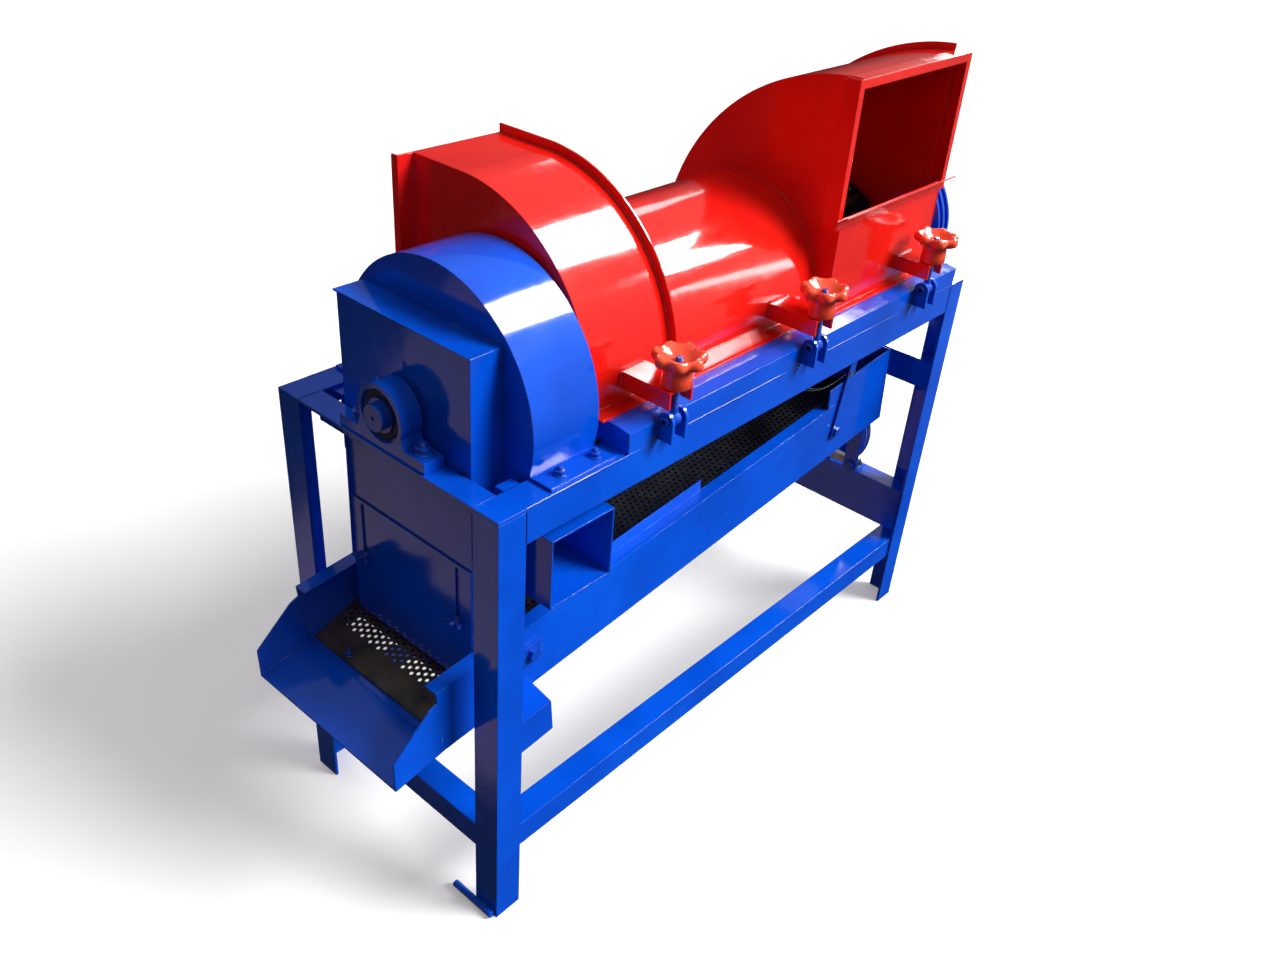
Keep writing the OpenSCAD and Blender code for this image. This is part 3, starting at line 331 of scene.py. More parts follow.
class Shape:
    """Vertices and faces gathered for one piece, in drawing millimetres."""

    def __init__(self, place=plain):
        self.verts = []
        self.faces = []
        self.place = place

    def put(self, verts, faces):
        base = len(self.verts)
        self.verts += [self.place(*v) for v in verts]
        self.faces += [[base + i for i in f] for f in faces]

    def rings(self, rings, cap=True):
        """Closed skin over rings of equal point counts."""
        count = len(rings[0])
        faces = []
        for r in range(len(rings) - 1):
            for k in range(count):
                n = (k + 1) % count
                faces.append([r * count + k, r * count + n, (r + 1) * count + n, (r + 1) * count + k])
        if cap:
            faces.append(list(range(count))[::-1])
            faces.append([(len(rings) - 1) * count + k for k in range(count)])
        self.put([v for ring in rings for v in ring], faces)

    def lathe(self, centre, axis, profile, steps=32, swell=None):
        """Turns (radius, height) pairs round an axis; swell(angle, index) scales the radius."""
        a, b, n = basis(axis)
        rings = []
        for i, (radius, height) in enumerate(profile):
            ring = []
            for k in range(steps):
                t = 2.0 * math.pi * k / steps
                r = radius * (swell(t, i) if swell else 1.0)
                ring.append(tuple(Vector(centre) + n * height
                                  + a * (r * math.cos(t)) + b * (r * math.sin(t))))
            rings.append(ring)
        self.rings(rings)

    def tube(self, points, radius, sides=8):
        """Round bar along points; radius is a number or a function of the point's index."""
        path = [Vector(p) for p in points]
        rings = []
        side = None
        for i, p in enumerate(path):
            ahead = (path[min(i + 1, len(path) - 1)] - path[max(i - 1, 0)]).normalized()
            if side is None:
                side = ahead.orthogonal().normalized()
            side = (side - ahead * side.dot(ahead)).normalized()
            up = ahead.cross(side)
            r = radius(i) if callable(radius) else radius
            turns = (2.0 * math.pi * k / sides for k in range(sides))
            rings.append([tuple(p + side * (r * math.cos(t)) + up * (r * math.sin(t))) for t in turns])
        self.rings(rings)

    def box(self, low, high):
        """Plain strip of sheet between two corners."""
        (x0, y0, z0), (x1, y1, z1) = low, high
        self.rings([[(x0, y0, z), (x1, y0, z), (x1, y1, z), (x0, y1, z)] for z in (z0, z1)])

    def hexagon(self, centre, axis, radius, height):
        """Nut or bolt head with its corners chamfered."""
        flat = radius * math.cos(math.radians(30.0))
        steps = 24

        def reach(t):
            return flat / math.cos(math.fmod(t, math.radians(60.0)) - math.radians(30.0))

        a, b, n = basis(axis)
        rings = [[], [], []]
        for k in range(steps):
            t = 2.0 * math.pi * k / steps
            spoke = a * math.cos(t) + b * math.sin(t)
            edge = height - (reach(t) - flat) * 0.6
            for ring, r, h in zip(rings, (reach(t), reach(t), flat * 0.96), (0.0, edge - 0.2, height)):
                ring.append(tuple(Vector(centre) + spoke * r + n * h))
        self.rings(rings)

    def screw(self, centre, axis, radius, length, pitch=1.6):
        """Threaded rod with a chamfered tip."""
        a, b, n = basis(axis)
        steps, rows = 14, int(length / pitch * 4)
        rings = []
        for j in range(rows + 1):
            h = length * j / rows
            taper = min(1.0, 0.80 + (length - h) / radius * 0.4)
            ring = []
            for k in range(steps):
                t = 2.0 * math.pi * k / steps
                wave = 0.5 + 0.5 * math.cos(2.0 * math.pi * h / pitch - t)
                r = radius * taper - 0.42 * pitch * wave
                ring.append(tuple(Vector(centre) + n * h
                                  + a * (r * math.cos(t)) + b * (r * math.sin(t))))
            rings.append(ring)
        self.rings(rings)

    def weld(self, points, radius=2.4):
        """Lumpy weld bead along points, its ripples a few millimetres apart."""
        path = [Vector(p) for p in points]
        fine = []
        for p, q in zip(path, path[1:]):
            count = max(2, round((q - p).length / WELD_STEP))
            fine += [p.lerp(q, i / count) for i in range(count)]
        fine.append(path[-1])
        last = len(fine) - 1
        sizes = []
        for i in range(last + 1):
            wave = math.cos(2.0 * math.pi * i * WELD_STEP / RIPPLE)
            ripple = 1.0 + 0.10 * wave + DICE.uniform(-0.07, 0.07)
            sizes.append(radius * ripple * min(1.0, 0.55 + 0.25 * min(i, last - i)))
        drift = [Vector([DICE.uniform(-0.22, 0.22) for _ in range(3)]) for _ in fine]
        self.tube([p + d for p, d in zip(fine, drift)], lambda i: sizes[i], 8)

    def piece(self, name, material, body, replaces=(), angle=40.0):
        """Makes the faces a piece that rides on a body and stands for the nodes it replaces."""
        mesh = bpy.data.meshes.new(name)
        mesh.from_pydata([at(*v) for v in self.verts], [], self.faces)
        bm = bmesh.new()
        bm.from_mesh(mesh)
        bmesh.ops.recalc_face_normals(bm, faces=bm.faces)
        bm.to_mesh(mesh)
        bm.free()
        mesh.materials.append(material)
        mesh.shade_smooth()
        mesh.set_sharp_from_angle(angle=math.radians(angle))
        obj = bpy.data.objects.new(name, mesh)
        SCENE.collection.objects.link(obj)
        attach(obj, body)
        if replaces:
            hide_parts(*replaces)


def basis(axis):
    """Two directions square to an axis, and the axis itself."""
    n = Vector(axis).normalized()
    a = Vector((0.0, 0.0, 1.0)) if abs(n.z) < 0.9 else Vector((1.0, 0.0, 0.0))
    a = (a - n * a.dot(n)).normalized()
    return a, n.cross(a), n


# ---------- perforated sheets ----------

def perforated(shape, length, width, pitch, hole_r, thick, point, start=6.0):
    """Sheet of staggered round holes. point(u, v, w) bends it into place; holes begin at u = start.

    Each hole has a cell of its own, laid like bricks, and half cells fill the ends of every other row.
    """
    row = pitch * 0.866
    edge = 6.0
    rows = int((width - 2 * edge) / row)
    cols = int((length - start - edge) / pitch)
    v0 = (width - rows * row) / 2.0
    u1 = start + cols * pitch
    index, verts, faces = {}, [], []

    def vert(u, v):
        key = (round(u * 50), round(v * 50))
        if key not in index:
            index[key] = len(verts)
            verts.append((u, v))
        return index[key]

    rim = ((0.5, 0.0), (0.5, 0.5), (0.25, 0.5), (0.0, 0.5), (-0.25, 0.5), (-0.5, 0.5),
           (-0.5, 0.0), (-0.5, -0.5), (-0.25, -0.5), (0.0, -0.5), (0.25, -0.5), (0.5, -0.5))
    turns = [math.atan2(dv * row, du * pitch) for du, dv in rim]
    for j in range(rows):
        v = v0 + (j + 0.5) * row
        shift = j % 2
        for i in range(cols - shift):
            u = start + (i + 0.5 + 0.5 * shift) * pitch
            outer = [vert(u + du * pitch, v + dv * row) for du, dv in rim]
            inner = [vert(u + hole_r * math.cos(t), v + hole_r * math.sin(t)) for t in turns]
            for k in range(len(rim)):
                n = (k + 1) % len(rim)
                faces.append([outer[k], outer[n], inner[n], inner[k]])
        if shift:
            for a in (start, u1 - pitch / 2.0):
                b = a + pitch / 2.0
                m = (a + b) / 2.0
                low, high = v - row / 2.0, v + row / 2.0
                loop = [(a, low), (m, low), (b, low), (b, v), (b, high), (m, high), (a, high), (a, v)]
                faces.append([vert(*p) for p in loop])
    us = [start + k * pitch / 4.0 for k in range(cols * 4 + 1)]
    vs = [v0 + k * row / 2.0 for k in range(rows * 2 + 1)]
    v1 = vs[-1]
    for va, vb in ((0.0, v0), (v1, width)):
        for a, b in zip(us, us[1:]):
            faces.append([vert(a, va), vert(b, va), vert(b, vb), vert(a, vb)])
    for ua, ub in ((0.0, start), (u1, length)):
        for a, b in zip([0.0] + vs, vs + [width]):
            faces.append([vert(ua, a), vert(ub, a), vert(ub, b), vert(ua, b)])
    # Both skins, and walls along every edge that only one face uses
    total = len(verts)
    used = set()
    for f in faces:
        used.update((f[k], f[(k + 1) % len(f)]) for k in range(len(f)))
    skin = [f[::-1] for f in faces]
    skin += [[i + total for i in f] for f in faces]
    skin += [[a, b, b + total, a + total] for a, b in used if (b, a) not in used]
    skin.sort()
    shape.put([point(u, v, 0.0) for u, v in verts] + [point(u, v, thick) for u, v in verts], skin)


def tray_sieves():
    """Flat main screen, and the tail sieve that slopes up to it, with its two bolts."""
    main = Shape(on_tray)
    perforated(main, 1005.0, TRAY_WIDTH, 12.8, 3.7, 2.0,
               lambda u, v, w: (191.0 + u, TRAY_Y0 + v, 50.0 + w), 8.0)
    main.piece("perforated_screen", SCREEN, "tray", ["sieve_screen"])
    length = 178.0
    slope = 45.0 / length
    tail = Shape(on_tray)
    perforated(tail, length, TRAY_WIDTH, 12.0, 3.5, 2.0,
               lambda u, v, w: (12.0 + u, TRAY_Y0 + v, 5.0 + u * slope + w), 40.0)
    tail.box((11.0, TRAY_Y0, 3.6), (13.0, TRAY_Y0 + TRAY_WIDTH, 7.2))
    tail.piece("perforated_tail", TAIL, "tray", ["tail_sieve"])
    bolts = Shape(on_tray)
    bolts.lathe((23.0, 330.0, 8.9), Z, [(7.5, 0.0), (7.5, 0.8), (6.8, 1.3), (3.0, 1.3)])
    bolts.hexagon((23.0, 330.0, 10.2), Z, 5.6, 4.2)
    bolts.screw((23.0, 330.0, 14.0), Z, 3.0, 5.0, 1.2)
    bolts.hexagon((23.0, 120.0, 8.9), Z, 5.2, 3.4)
    bolts.piece("tail_bolts", BLUE_METAL, "tray")


def drum_sieve():
    """Half-round screen under the drum, with a strip along each side."""
    radius, thick = 169.0, 3.0
    start, length = 239.5, 893.0
    top = 826.5
    side = math.degrees(math.asin((AXLE_Z - top) / radius))
    sweep = math.radians(180.0 - 2.0 * side)

    def wrap(u, v, w):
        t = math.radians(180.0 + side) + v / radius
        r = radius - thick + w
        return (start + u, AXLE_Y + r * math.cos(t), AXLE_Z + r * math.sin(t))

    sieve = Shape()
    perforated(sieve, length, radius * sweep, 15.0, 4.6, thick, wrap, 9.0)
    for y in (73.3, 406.7):
        sieve.box((start, y, 807.0), (start + length, y + 4.0, top))
    sieve.piece("perforated_concave", SCREEN, "stand", ["drum_screen"])


# ---------- knobs, bolts and nuts ----------

def star_knobs():
    """Wavy seven-lobed hand knobs, dished on top, each on the tip of its swing bolt."""
    lobes, per_lobe = 7, 14
    steps = lobes * per_lobe
    # Outer skin from the foot up over the rim into the dish, and how far each point dips between lobes
    profile = [(21.5, 0.0), (22.6, 1.2), (22.0, 16.0), (21.2, 27.0), (24.0, 31.5), (33.5, 33.5),
               (39.0, 36.5), (41.0, 41.5), (40.4, 47.0), (37.6, 50.8), (34.0, 51.6), (31.0, 50.2),
               (24.0, 45.7), (16.5, 41.0), (11.0, 39.0), (6.1, 38.4)]
    dips = [0.0, 0.0, 0.0, 0.0, 0.05, 0.16, 0.19, 0.18, 0.16, 0.12, 0.06, 0.02, 0.0, 0.0, 0.0, 0.0]
    bore = [(6.1, 28.0), (6.1, 0.0)]
    dips += [0.0] * len(bore)
    deepest = 0.19
    rim, droop = (8, 9, 10), 3.2
    eye = [(5.15, -7.0), (9.0, -8.0), (11.0, -5.5), (11.4, 0.0), (11.0, 5.5), (9.0, 8.0), (5.15, 7.0),
           (5.15, -7.0)]
    for name, x in zip(CLAMPS, CLAMP_XS):
        wobble = [DICE.uniform(-0.3, 0.3) for _ in range(lobes)]
        rings = []
        for i, (radius, height) in enumerate(profile + bore):
            ring = []
            for k in range(steps):
                t = 2.0 * math.pi * k / steps
                wave = 0.5 - 0.5 * math.cos(lobes * t)
                r = radius * (1.0 - dips[i] * wave ** 1.3)
                lift = wobble[k // per_lobe] * (dips[i] / deepest)
                sink = -droop * wave if i in rim else 0.0
                spin = t - math.pi / 2.0
                ring.append((x + r * math.cos(spin), CLAMP_Y + r * math.sin(spin),
                             KNOB_Z + height + lift + sink))
            rings.append(ring)
        rings.append(rings[0])
        knob = Shape()
        knob.rings(rings, cap=False)
        knob.piece("hand_knob_" + name, KNOB, "knob_" + name,
                   ["star_knob_" + name], 60.0)

        bolt = Shape()
        bolt.lathe((x, CLAMP_Y, PIN_Z), X, eye, 32)
        bolt.lathe((x, CLAMP_Y, PIN_Z + 8.0), Z, [(7.0, 0.0), (6.2, 5.0), (5.8, 10.0), (5.6, 12.0)], 20)
        bolt.screw((x, CLAMP_Y, PIN_Z + 19.0), Z, 6.0, 79.0, 1.75)
        bolt.piece("eye_bolt_" + name, BLUE_METAL, "bolt_" + name,
                   ["swing_bolt_" + name])


def clamp_pins():
    """Pins of the three clevises: a head, a washer and a split ring each."""
    pins = Shape()
    for x in CLAMP_XS:
        pins.lathe((x - 22.0, CLAMP_Y, PIN_Z), X, [(3.8, 0.0), (4.9, 1.0), (4.9, 43.0), (3.8, 44.0)], 20)
        pins.lathe((x - 22.0, CLAMP_Y, PIN_Z), X, [(6.6, 0.0), (7.8, 1.0), (7.8, 3.4)], 24)
        pins.lathe((x + 18.6, CLAMP_Y, PIN_Z), X, [(5.0, 0.0), (7.6, 0.1), (7.6, 1.3), (5.0, 1.5)], 24)
        loop = [(x + 21.0, CLAMP_Y + 6.5 * math.cos(t), PIN_Z + 2.6 * math.sin(t) - 2.0)
                for t in (0.4 * k for k in range(16))]
        pins.tube(loop, 0.8, 6)
    pins.piece("hinge_pins", BLUE_METAL, "stand", ["clevis_pins"])


def wing_nuts():
    """Nuts of the suction gate: a hub against the plate, and two ears."""
    plate = span("wing_nut_front")[1][0]
    hub = [(8.0, 0.0), (8.0, 1.4), (7.0, 2.2), (6.0, 9.0), (4.1, 9.0), (4.1, 0.0), (8.0, 0.0)]
    ear = [(7.5, 2.0), (12.0, 4.0), (16.5, 8.0), (18.8, 12.0), (17.6, 14.6), (14.0, 14.4), (10.0, 11.5),
           (6.0, 8.2)]
    middle_r, middle_h = 12.0, 8.0
    for name, y in zip(("front", "back"), STUD_YS):
        nut = Shape()
        nut.lathe((plate, y, STUD_Z), (-1.0, 0.0, 0.0), hub, 24)
        for side in (-1.0, 1.0):
            rings = []
            for z, grow in ((-2.0, 0.82), (-1.2, 1.0), (1.2, 1.0), (2.0, 0.82)):
                rings.append([(plate - middle_h - (h - middle_h) * grow,
                               y + side * (middle_r + (r - middle_r) * grow),
                               STUD_Z + z) for r, h in ear])
            nut.rings(rings)
        nut.piece("butterfly_nut_" + name, BLUE_METAL, "nut_" + name, ["wing_nut_" + name])


def frame_bolts():
    """Bolts of the fan feet, pillow blocks, gate studs and hanger straps."""
    bolts = Shape()
    for x in (135.0, 205.0):
        for y in (25.0, FRAME_W - 25.0):
            bolts.lathe((x, y, 797.0), Z, [(10.4, 0.0), (10.4, 1.3), (9.8, 1.9), (6.0, 1.9)], 28)
            bolts.hexagon((x, y, 798.9), Z, 8.6, 6.6)
            bolts.screw((x, y, 805.0), Z, 4.8, 5.5, 1.4)
            bolts.hexagon((x, y, RAIL_UNDER), (0, 0, -1), 8.6, 5.5)
    for x in BEARING_XS:
        for y in (AXLE_Y - 68.0, AXLE_Y + 68.0):
            bolts.lathe((x, y, 810.0), Z, [(14.0, 0.0), (14.0, 1.8), (13.2, 2.5), (7.0, 2.5)], 28)
            bolts.hexagon((x, y, 812.5), Z, 12.0, 9.0)
            bolts.screw((x, y, 821.0), Z, 6.8, 7.0, 1.9)
            bolts.hexagon((x, y, RAIL_UNDER), (0, 0, -1), 12.0, 8.0)
    for y in STUD_YS:
        bolts.screw((45.0, y, STUD_Z), (-1, 0, 0), 3.95, 19.5, 1.25)
    for x in STRAP_XS:
        for y, out in ((66.5, -1.0), (FRAME_W - 66.5, 1.0)):
            bolts.hexagon((x, y - out * 0.8, STRAP_Z), (0, out, 0), 9.0, 5.7)
            bolts.screw((x, y + out * 4.5, STRAP_Z), (0, out, 0), 4.4, 5.0, 1.4)
            bolts.lathe((x, y - out * 14.0, STRAP_Z), (0, out, 0), [(4.8, 0.0), (4.8, 13.0)], 16)
            bolts.hexagon((x, y - out * 7.6, STRAP_Z), (0, -out, 0), 9.0, 5.5)
    bolts.piece("stand_bolts", BLUE_METAL, "stand", ["fixed_bolts"])


def bearings():
    """Rubber seals on both faces of each pillow block, and a grease nipple on its shoulder."""
    seal = [(27.0, 0.0), (27.0, 1.6), (29.0, 2.2), (33.0, 1.2), (36.0, 1.9), (37.0, 1.0), (37.0, 0.0),
            (27.0, 0.0)]
    lean = math.radians(62.0)
    up = (0.0, math.cos(lean), math.sin(lean))
    shoulder = 47.0
    seals = Shape()
    nipples = Shape()
    for x in BEARING_XS:
        for s in (-1.0, 1.0):
            seals.lathe((x + s * 12.6, AXLE_Y, AXLE_Z), (s, 0, 0), seal, 48)
        foot = (x, AXLE_Y + shoulder * up[1], AXLE_Z + shoulder * up[2])
        nipples.hexagon(foot, up, 4.6, 4.0)
        nipples.lathe(foot, up, [(2.2, 3.5), (2.0, 6.5), (3.0, 7.6), (2.9, 9.2), (1.2, 10.4)], 16)
    seals.piece("bearing_seals", SEAL, "stand")
    nipples.piece("grease_nipples", BLUE_METAL, "stand")


# ---------- welds ----------

def frame_welds():
    """Beads of the stand, and the worn edges of its long rails as thin rounded strips."""
    beads = Shape()
    # Faces of the stand, each with its direction inward
    ends = ((0.0, 1.0), (FRAME_L, -1.0))
    sides = ((0.0, 1.0), (FRAME_W, -1.0))
    # Long rails against the legs, at the top and near the floor
    for x, e in ends:
        for y, s in sides:
            beads.weld([(x + e * 50.6, y + s * 0.2, 736.0), (x + e * 50.6, y + s * 0.2, 789.0)], 1.5)
        for y, s in sides:
            beads.weld([(x + e * 50.0, y + s * 5.5, 131.0), (x + e * 50.0, y + s * 5.5, 176.0)], 2.6)
    # End rails against the long rails
    for x, e in ends:
        for y, s in sides:
            corner = y + s * 50.0
            beads.weld([(x + e * 2.0, corner, RAIL_TOP), (x + e * 40.0, corner, RAIL_TOP)], 1.0)
            beads.weld([(x + e * 37.0, corner + s, 742.0), (x + e * 37.0, corner, 786.0)], 2.2)
    # Low cross rail at the fan end, and the two cross members at the feed end
    for y, s in sides:
        beads.weld([(6.0, y + s * 50.0, 177.0), (50.0, y + s * 50.0, 177.0)], 1.6)
        wall = y + s * 5.5
        for top, low, x in ((302.0, 202.0, 1195.0), (615.0, 556.0, 1200.0)):
            beads.weld([(x, wall, low), (x, wall, top)], 2.2)
            beads.weld([(x + 3.0, wall, top), (1240.0, wall, top)], 1.8)
    # Edges of the top rails, which stand prouder beyond the fan, and of the low rails
    for y, s in sides:
        beads.tube([(51.0, y + s * 1.2, 790.8), (247.0, y + s * 1.2, 790.8)], 1.9, 12)
        beads.tube([(247.0, y + s * 1.2, 790.8), (1194.0, y + s * 1.2, 790.8)], 2.1, 12)
    for y, s in sides:
        beads.tube([(51.0, y + s * 6.3, 174.8), (1194.0, y + s * 6.3, 174.8)], 1.7, 12)
    # Ends of the folded side members, clevises, leg and round bar at the foot, hanger strap tops
    for y in (0.4, 72.6, FRAME_W - 0.4, FRAME_W - 72.6):
        beads.weld([(247.2, y, 793.0), (247.2, y, 824.0)], 1.2)
    for x in CLAMP_XS:
        for s in (-1.0, 1.0):
            for e in (12.0, 18.0):
                beads.weld([(x + s * e, -0.3, 800.0), (x + s * e, -0.3, 829.0)], 1.5)
    beads.weld([(45.0, 5.5, 4.0), (45.0, 5.5, 4.5)], 1.5)
    beads.weld([(-2.0, 6.0, 12.0), (-2.0, 48.0, 12.0)], 2.2)
    for x in STRAP_XS:
        for y in (15.0, FRAME_W - 15.0):
            beads.weld([(x - 14.0, y, 783.5), (x + 14.0, y, 783.5)], 1.8)
    # Duct, intake box and fan shell seams
    duct, duct_half = 99.6, 139.0
    for s in (-1.0, 1.0):
        y = AXLE_Y + s * duct_half
        beads.weld([(duct, y + s * 0.2, 800.0), (duct, y + s * 0.2, 966.0)], 1.3)
        beads.weld([(duct, y + s * 0.2, 500.0), (duct, y + s * 0.2, 780.0)], 1.2)
    for y in (126.0, 190.0, 262.0, 330.0):
        beads.weld([(99.8, y, 970.2), (99.8, y + 11.0, 970.2)], 1.9)
    for y, s in sides:
        foot = y + s * 52.4
        beads.tube([(101.0, foot, 797.4), (225.0, foot, 797.4)], 2.0, 12)
    for y in (104.0, 380.0):
        beads.weld([(45.4, y, 790.0), (98.0, y, 790.0)], 1.0)
    beads.piece("stand_welds", BLUE_METAL, "stand")


def cover_welds():
    """Beads of the drum cover, the discharge scroll, the feed hopper and the three brackets."""
    beads = Shape()
    scroll_end, hopper_end = 412.6, 799.4
    beads.weld(arc(408.4, 336.0, 846.0, 268.6, 174.0, 92.0, 60), 1.6)
    beads.weld(arc(scroll_end, AXLE_Y, COVER_Z, COVER_R, 178.0, 2.0, 70), 1.4)
    beads.weld(arc(hopper_end, AXLE_Y, COVER_Z, COVER_R, 178.0, 2.0, 70), 1.3)
    for turn in (150.0, 118.0, 84.0, 62.0, 30.0):
        beads.weld(arc(hopper_end - 0.8, AXLE_Y, COVER_Z, COVER_R + 1.0, turn, turn - 2.6, 4), 2.6)
        beads.weld(arc(scroll_end + 0.8, AXLE_Y, COVER_Z, COVER_R + 1.0, turn + 8.0, turn + 5.4, 4), 2.6)
    for x, back in zip(CLAMP_XS, (68.0, 70.0, 42.0)):
        for s in (-1.0, 1.0):
            beads.weld([(x + s * 26.0, back - 0.4, 857.0), (x + s * 26.0, back - 0.4, 881.0)], 2.3)
        beads.weld([(x - 24.0, back - 0.2, 882.2), (x + 24.0, back - 0.2, 882.2)], 2.0)
    # Along the flange, in short runs
    flange = 833.2
    for x in (258.0, 722.0):
        y = 67.6 if x < scroll_end else 69.6
        beads.weld([(x, y, flange), (x + 24.0, y, flange)], 1.7)
    beads.weld([(418.0, 70.0, 845.4), (640.0, 70.0, 845.4)], 0.9)
    for k in range(4):
        x = 820.0 + k * 84.0
        beads.weld([(x, 41.6, flange), (x + 22.0, 41.6, flange)], 1.5)
    # Corners of the feed hopper and of the scroll's mouth
    for x in (799.6, 1135.2):
        beads.weld([(x, 42.2, 836.0), (x, 42.2, 984.0)], 1.2)
    beads.weld([(787.0, 66.5, 1012.0), (787.0, 66.5, 1100.0)], 0.9)
    beads.weld(arc(1131.6, 42.4, 853.6, 374.6, 86.0, 4.0, 70), 1.5)
    beads.weld([(235.8, 441.0, 886.0), (235.8, 441.0, 1108.0)], 1.4)
    for x in CLAMP_XS:
        beads.weld([(x - 30.0, 426.0, 833.4), (x + 30.0, 426.0, 833.4)], 1.7)
    beads.piece("cover_welds", RED_METAL, "stand")


def cover_skirt():
    """Sheet that slopes from the drum cover's wall down over its flange, between two clamps."""
    wall, flange = 70.6, 833.1
    section = [(wall, flange), (wall, 846.6), (69.4, 844.9), (66.0, 842.6), (50.0, 834.7),
               (48.6, flange)]
    # Distance along the cover, and how much of the section is left where the far end rounds off
    stations = ((414.2, 1.0), (480.0, 1.0), (560.0, 1.0), (640.0, 1.0), (645.0, 0.96), (648.5, 0.86),
                (650.5, 0.66))
    skirt = Shape()
    skirt.rings([[(x, wall + (y - wall) * share, flange + (z - flange) * share) for y, z in section]
                 for x, share in stations])
    skirt.piece("cover_skirt", RED_THIN, "stand")


def tray_welds():
    """Beads of the tray, its guard strip and chute, and the worn edge of the spout."""
    beads = Shape(on_tray)
    for y, s in ((72.0, -1.0), (412.0, 1.0)):
        beads.weld([(0.0, y - s * 3.2, 4.0), (0.0, y - s * 3.2, 100.0)], 1.4)
        beads.weld([(985.0, y + s * 0.1, 123.5), (1010.0, y + s * 0.1, 124.5)], 1.0)
        beads.weld([(-86.0, y - s * 3.4, -4.5), (-3.0, y - s * 3.4, 3.6)], 1.3)
        beads.weld([(1196.8, y - s * 3.6, 6.0), (1196.8, y - s * 3.6, 160.0)], 1.6)
    for s in (285.0, 400.0, 515.0, 618.0):
        beads.weld([(s, 95.2, 122.4), (s + 16.0, 95.2, 122.4)], 1.4)
    beads.weld([(103.0, 71.6, -0.2), (171.0, 71.6, -0.2)], 1.6)
    beads.tube([(102.6, 21.1, 3.9), (171.4, 21.1, 3.9)], 1.4, 12)
    beads.piece("tray_welds", BLUE_METAL, "tray")


def wire_tie():
    """Thin wire twisted round one strap, with two loose strands that lie on towards the fan."""
    wire = Shape()
    x, z = 984.0, 640.0
    coil = []
    for k in range(34):
        t = 2.0 * math.pi * k / 15.0
        coil.append((x + 13.2 * math.cos(t), 68.0 + 3.6 * math.sin(t), z + 1.1 * k / 6.0))
    coil += [(x - 16.0, 61.0, z + 9.0), (x - 24.0, 55.0, z + 15.0), (x - 30.0, 52.0, z + 13.0)]
    wire.tube(coil, 0.9, 6)
    for drop, side in ((0.0, 0.0), (7.0, 5.0)):
        strand = []
        for k in range(15):
            u = k / 14.0
            sag = 16.0 * math.sin(math.pi * u) + drop * u
            strand.append((x - 12.0 - 118.0 * u, 72.0 + (20.0 + side) * u, z + 4.0 - sag + 5.0 * u))
        wire.tube(strand, 0.6, 6)
    wire.piece("wire_tie", ZINC, "hanger_far_front")


tray_sieves()
drum_sieve()
star_knobs()
clamp_pins()
wing_nuts()
frame_bolts()
bearings()
frame_welds()
cover_welds()
cover_skirt()
tray_welds()
wire_tie()

# ---------- studio ----------

LAMP_AIM = Vector((0.0, 0.0, 0.8))
IMAGE_WIDTH = 1280.0
CAM_SENSOR = 36.0
CAM_FOCAL = 1143.55
CAM_PLACE = (-813.3, -880.4, 1637.5)
CAM_AXES = ((0.66097, -0.74706, 0.07086),
            (-0.36612, -0.40346, -0.83855),
            (0.65504, 0.52831, -0.54019))


def lamp(name, kind, toward, power, **values):
    """A lamp that shines from the direction given by toward; an area lamp stands that far off."""
    data = bpy.data.lights.new(name, kind)
    data.energy = power
    for key, value in values.items():
        setattr(data, key, value)
    obj = bpy.data.objects.new(name, data)
    SCENE.collection.objects.link(obj)
    obj.location = LAMP_AIM + Vector(toward)
    obj.rotation_euler = Vector(toward).to_track_quat("Z", "Y").to_euler()
    return obj


def soft_sun(name, toward, power, spread, colour=(1.0, 1.0, 1.0)):
    """Wide sun that lights the object but leaves no highlight; spread is its angle in degrees."""
    obj = lamp(name, "SUN", toward, power, angle=math.radians(spread), color=colour)
    obj.visible_glossy = False


def panel(name, direction, distance, size, brightness, colour=(1.0, 1.0, 1.0)):
    """Bright panel that only shows as a reflection in the glossy paint; its second side runs along Y."""
    power = brightness * math.pi * size[0] * size[1]
    out = Vector(direction).normalized()
    across = Vector((out.z, 0.0, -out.x)).normalized()
    obj = lamp(name, "AREA", out * distance, power, shape="RECTANGLE", size=size[0], size_y=size[1],
               color=colour)
    obj.rotation_euler = Matrix((across, out.cross(across), out)).transposed().to_euler()
    obj.visible_diffuse = False
    obj.visible_camera = False


def pale(name, tone, glow):
    """Dull paint of a stage surface: its grey tone, and how much it glows by itself."""
    g = Graph(name)
    g.link(g.ramp(g.noise(3.0), [(0.3, tone), (0.7, tone * 1.04)]), g.bsdf, "Base Color")
    g.bsdf.inputs["Roughness"].default_value = 0.8
    g.bsdf.inputs["Specular IOR Level"].default_value = 0.1
    g.bsdf.inputs["Emission Color"].default_value = (1.0, 1.0, 1.0, 1.0)
    g.bsdf.inputs["Emission Strength"].default_value = glow
    return g.mat


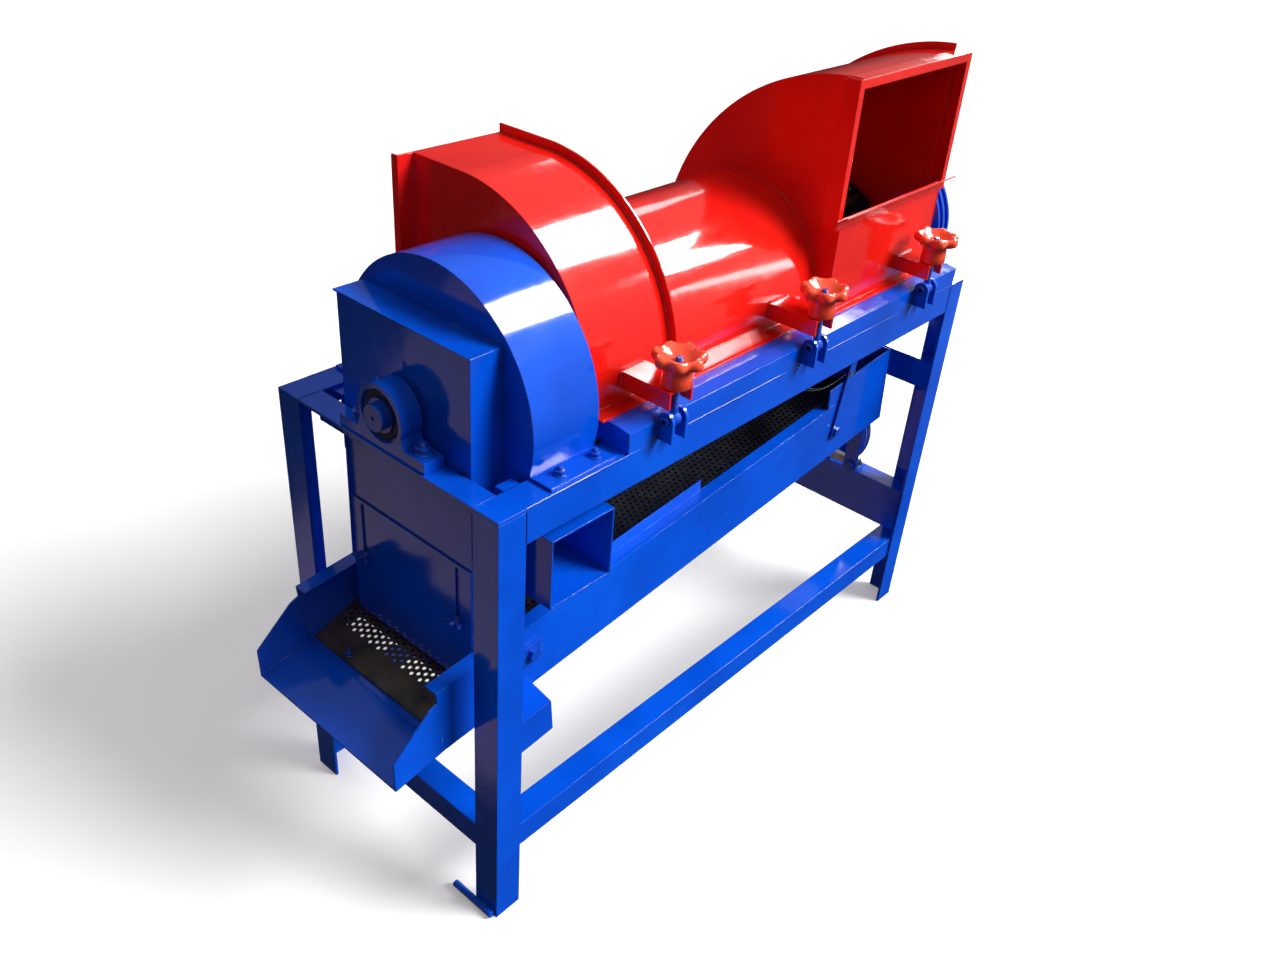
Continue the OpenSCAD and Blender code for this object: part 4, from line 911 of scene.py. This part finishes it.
def sky():
    """Dim grey sky, brighter above the front side at the feed end."""
    world = bpy.data.worlds.new("soft_sky")
    world.use_nodes = True
    tree = world.node_tree
    coord = tree.nodes.new("ShaderNodeTexCoord")
    dot = tree.nodes.new("ShaderNodeVectorMath")
    dot.operation = "DOT_PRODUCT"
    dot.inputs[1].default_value = Vector((0.42, -0.42, 0.80))
    ramp = tree.nodes.new("ShaderNodeValToRGB")
    tree.links.new(coord.outputs["Generated"], dot.inputs[0])
    tree.links.new(dot.outputs["Value"], ramp.inputs["Fac"])
    low, high = ramp.color_ramp.elements
    low.position, low.color = 0.05, (0.022, 0.022, 0.026, 1.0)
    high.position, high.color = 1.0, (0.50, 0.50, 0.50, 1.0)
    background = tree.nodes["Background"]
    tree.links.new(ramp.outputs["Color"], background.inputs["Color"])
    background.inputs["Strength"].default_value = 1.0
    SCENE.world = world
    SCENE.view_settings.view_transform = "Standard"


def lights():
    """Soft key from the front, weak fills, and panels for the highlights."""
    soft_sun("soft_key", (0.62, -0.90, 0.88), 4.7, 30.0)
    soft_sun("back_fill", (0.10, 1.0, 0.22), 1.5, 60.0)
    soft_sun("warm_bounce", (-1.0, -0.12, 0.02), 0.5, 60.0, (1.0, 0.16, 0.12))
    panel("roof_light", (0.69, -0.255, 0.68), 9.0, (3.8, 3.5), 34.0)
    panel("window_light", (0.93, 0.26, 0.26), 9.0, (2.4, 2.6), 20.0)
    panel("side_light", (0.76, -0.60, 0.25), 9.0, (3.2, 0.35), 10.0)
    panel("sky_light", (0.70, 0.53, 0.47), 9.0, (1.2, 1.2), 3.0)
    panel("back_wall", (-0.64, 0.52, -0.56), 7.0, (3.4, 3.0), 0.28, (1.0, 0.72, 0.85))


def backdrop():
    """Pale floor with a round pale wall far behind it; neither throws light on the object."""
    half = 20.0
    mesh = bpy.data.meshes.new("floor")
    square = [(-half, -half, 0), (half, -half, 0), (half, half, 0), (-half, half, 0)]
    mesh.from_pydata(square, [], [(0, 1, 2, 3)])
    floor = bpy.data.objects.new("floor", mesh)
    SCENE.collection.objects.link(floor)
    floor.visible_diffuse = False
    floor.visible_glossy = False
    mesh.materials.append(pale("pale_floor", 0.80, 0.22))
    sides = 48
    foot, top = -0.01, 16.0
    turns = [2.0 * math.pi * k / sides for k in range(sides)]
    rows = [(half * math.cos(t), half * math.sin(t), z) for z in (foot, top) for t in turns]
    mesh = bpy.data.meshes.new("backdrop")
    mesh.from_pydata(rows, [], [(k, k + sides, (k + 1) % sides + sides, (k + 1) % sides)
                                for k in range(sides)])
    mesh.shade_smooth()
    wall = bpy.data.objects.new("backdrop", mesh)
    SCENE.collection.objects.link(wall)
    wall.visible_diffuse = False
    wall.visible_glossy = False
    wall.visible_shadow = False
    mesh.materials.append(pale("pale_backdrop", 0.01, 0.86))


def camera():
    """Seen from the fan end's front corner, a little above the hopper."""
    data = bpy.data.cameras.new("camera")
    data.sensor_width = CAM_SENSOR
    data.lens = CAM_SENSOR * CAM_FOCAL / IMAGE_WIDTH
    obj = bpy.data.objects.new("camera", data)
    SCENE.collection.objects.link(obj)
    right, down, ahead = (Vector(v) for v in CAM_AXES)
    turn = Matrix((right, -down, -ahead)).transposed()
    obj.matrix_world = Matrix.Translation(at(*CAM_PLACE)) @ turn.to_4x4()
    SCENE.camera = obj


camera()
sky()
lights()
backdrop()
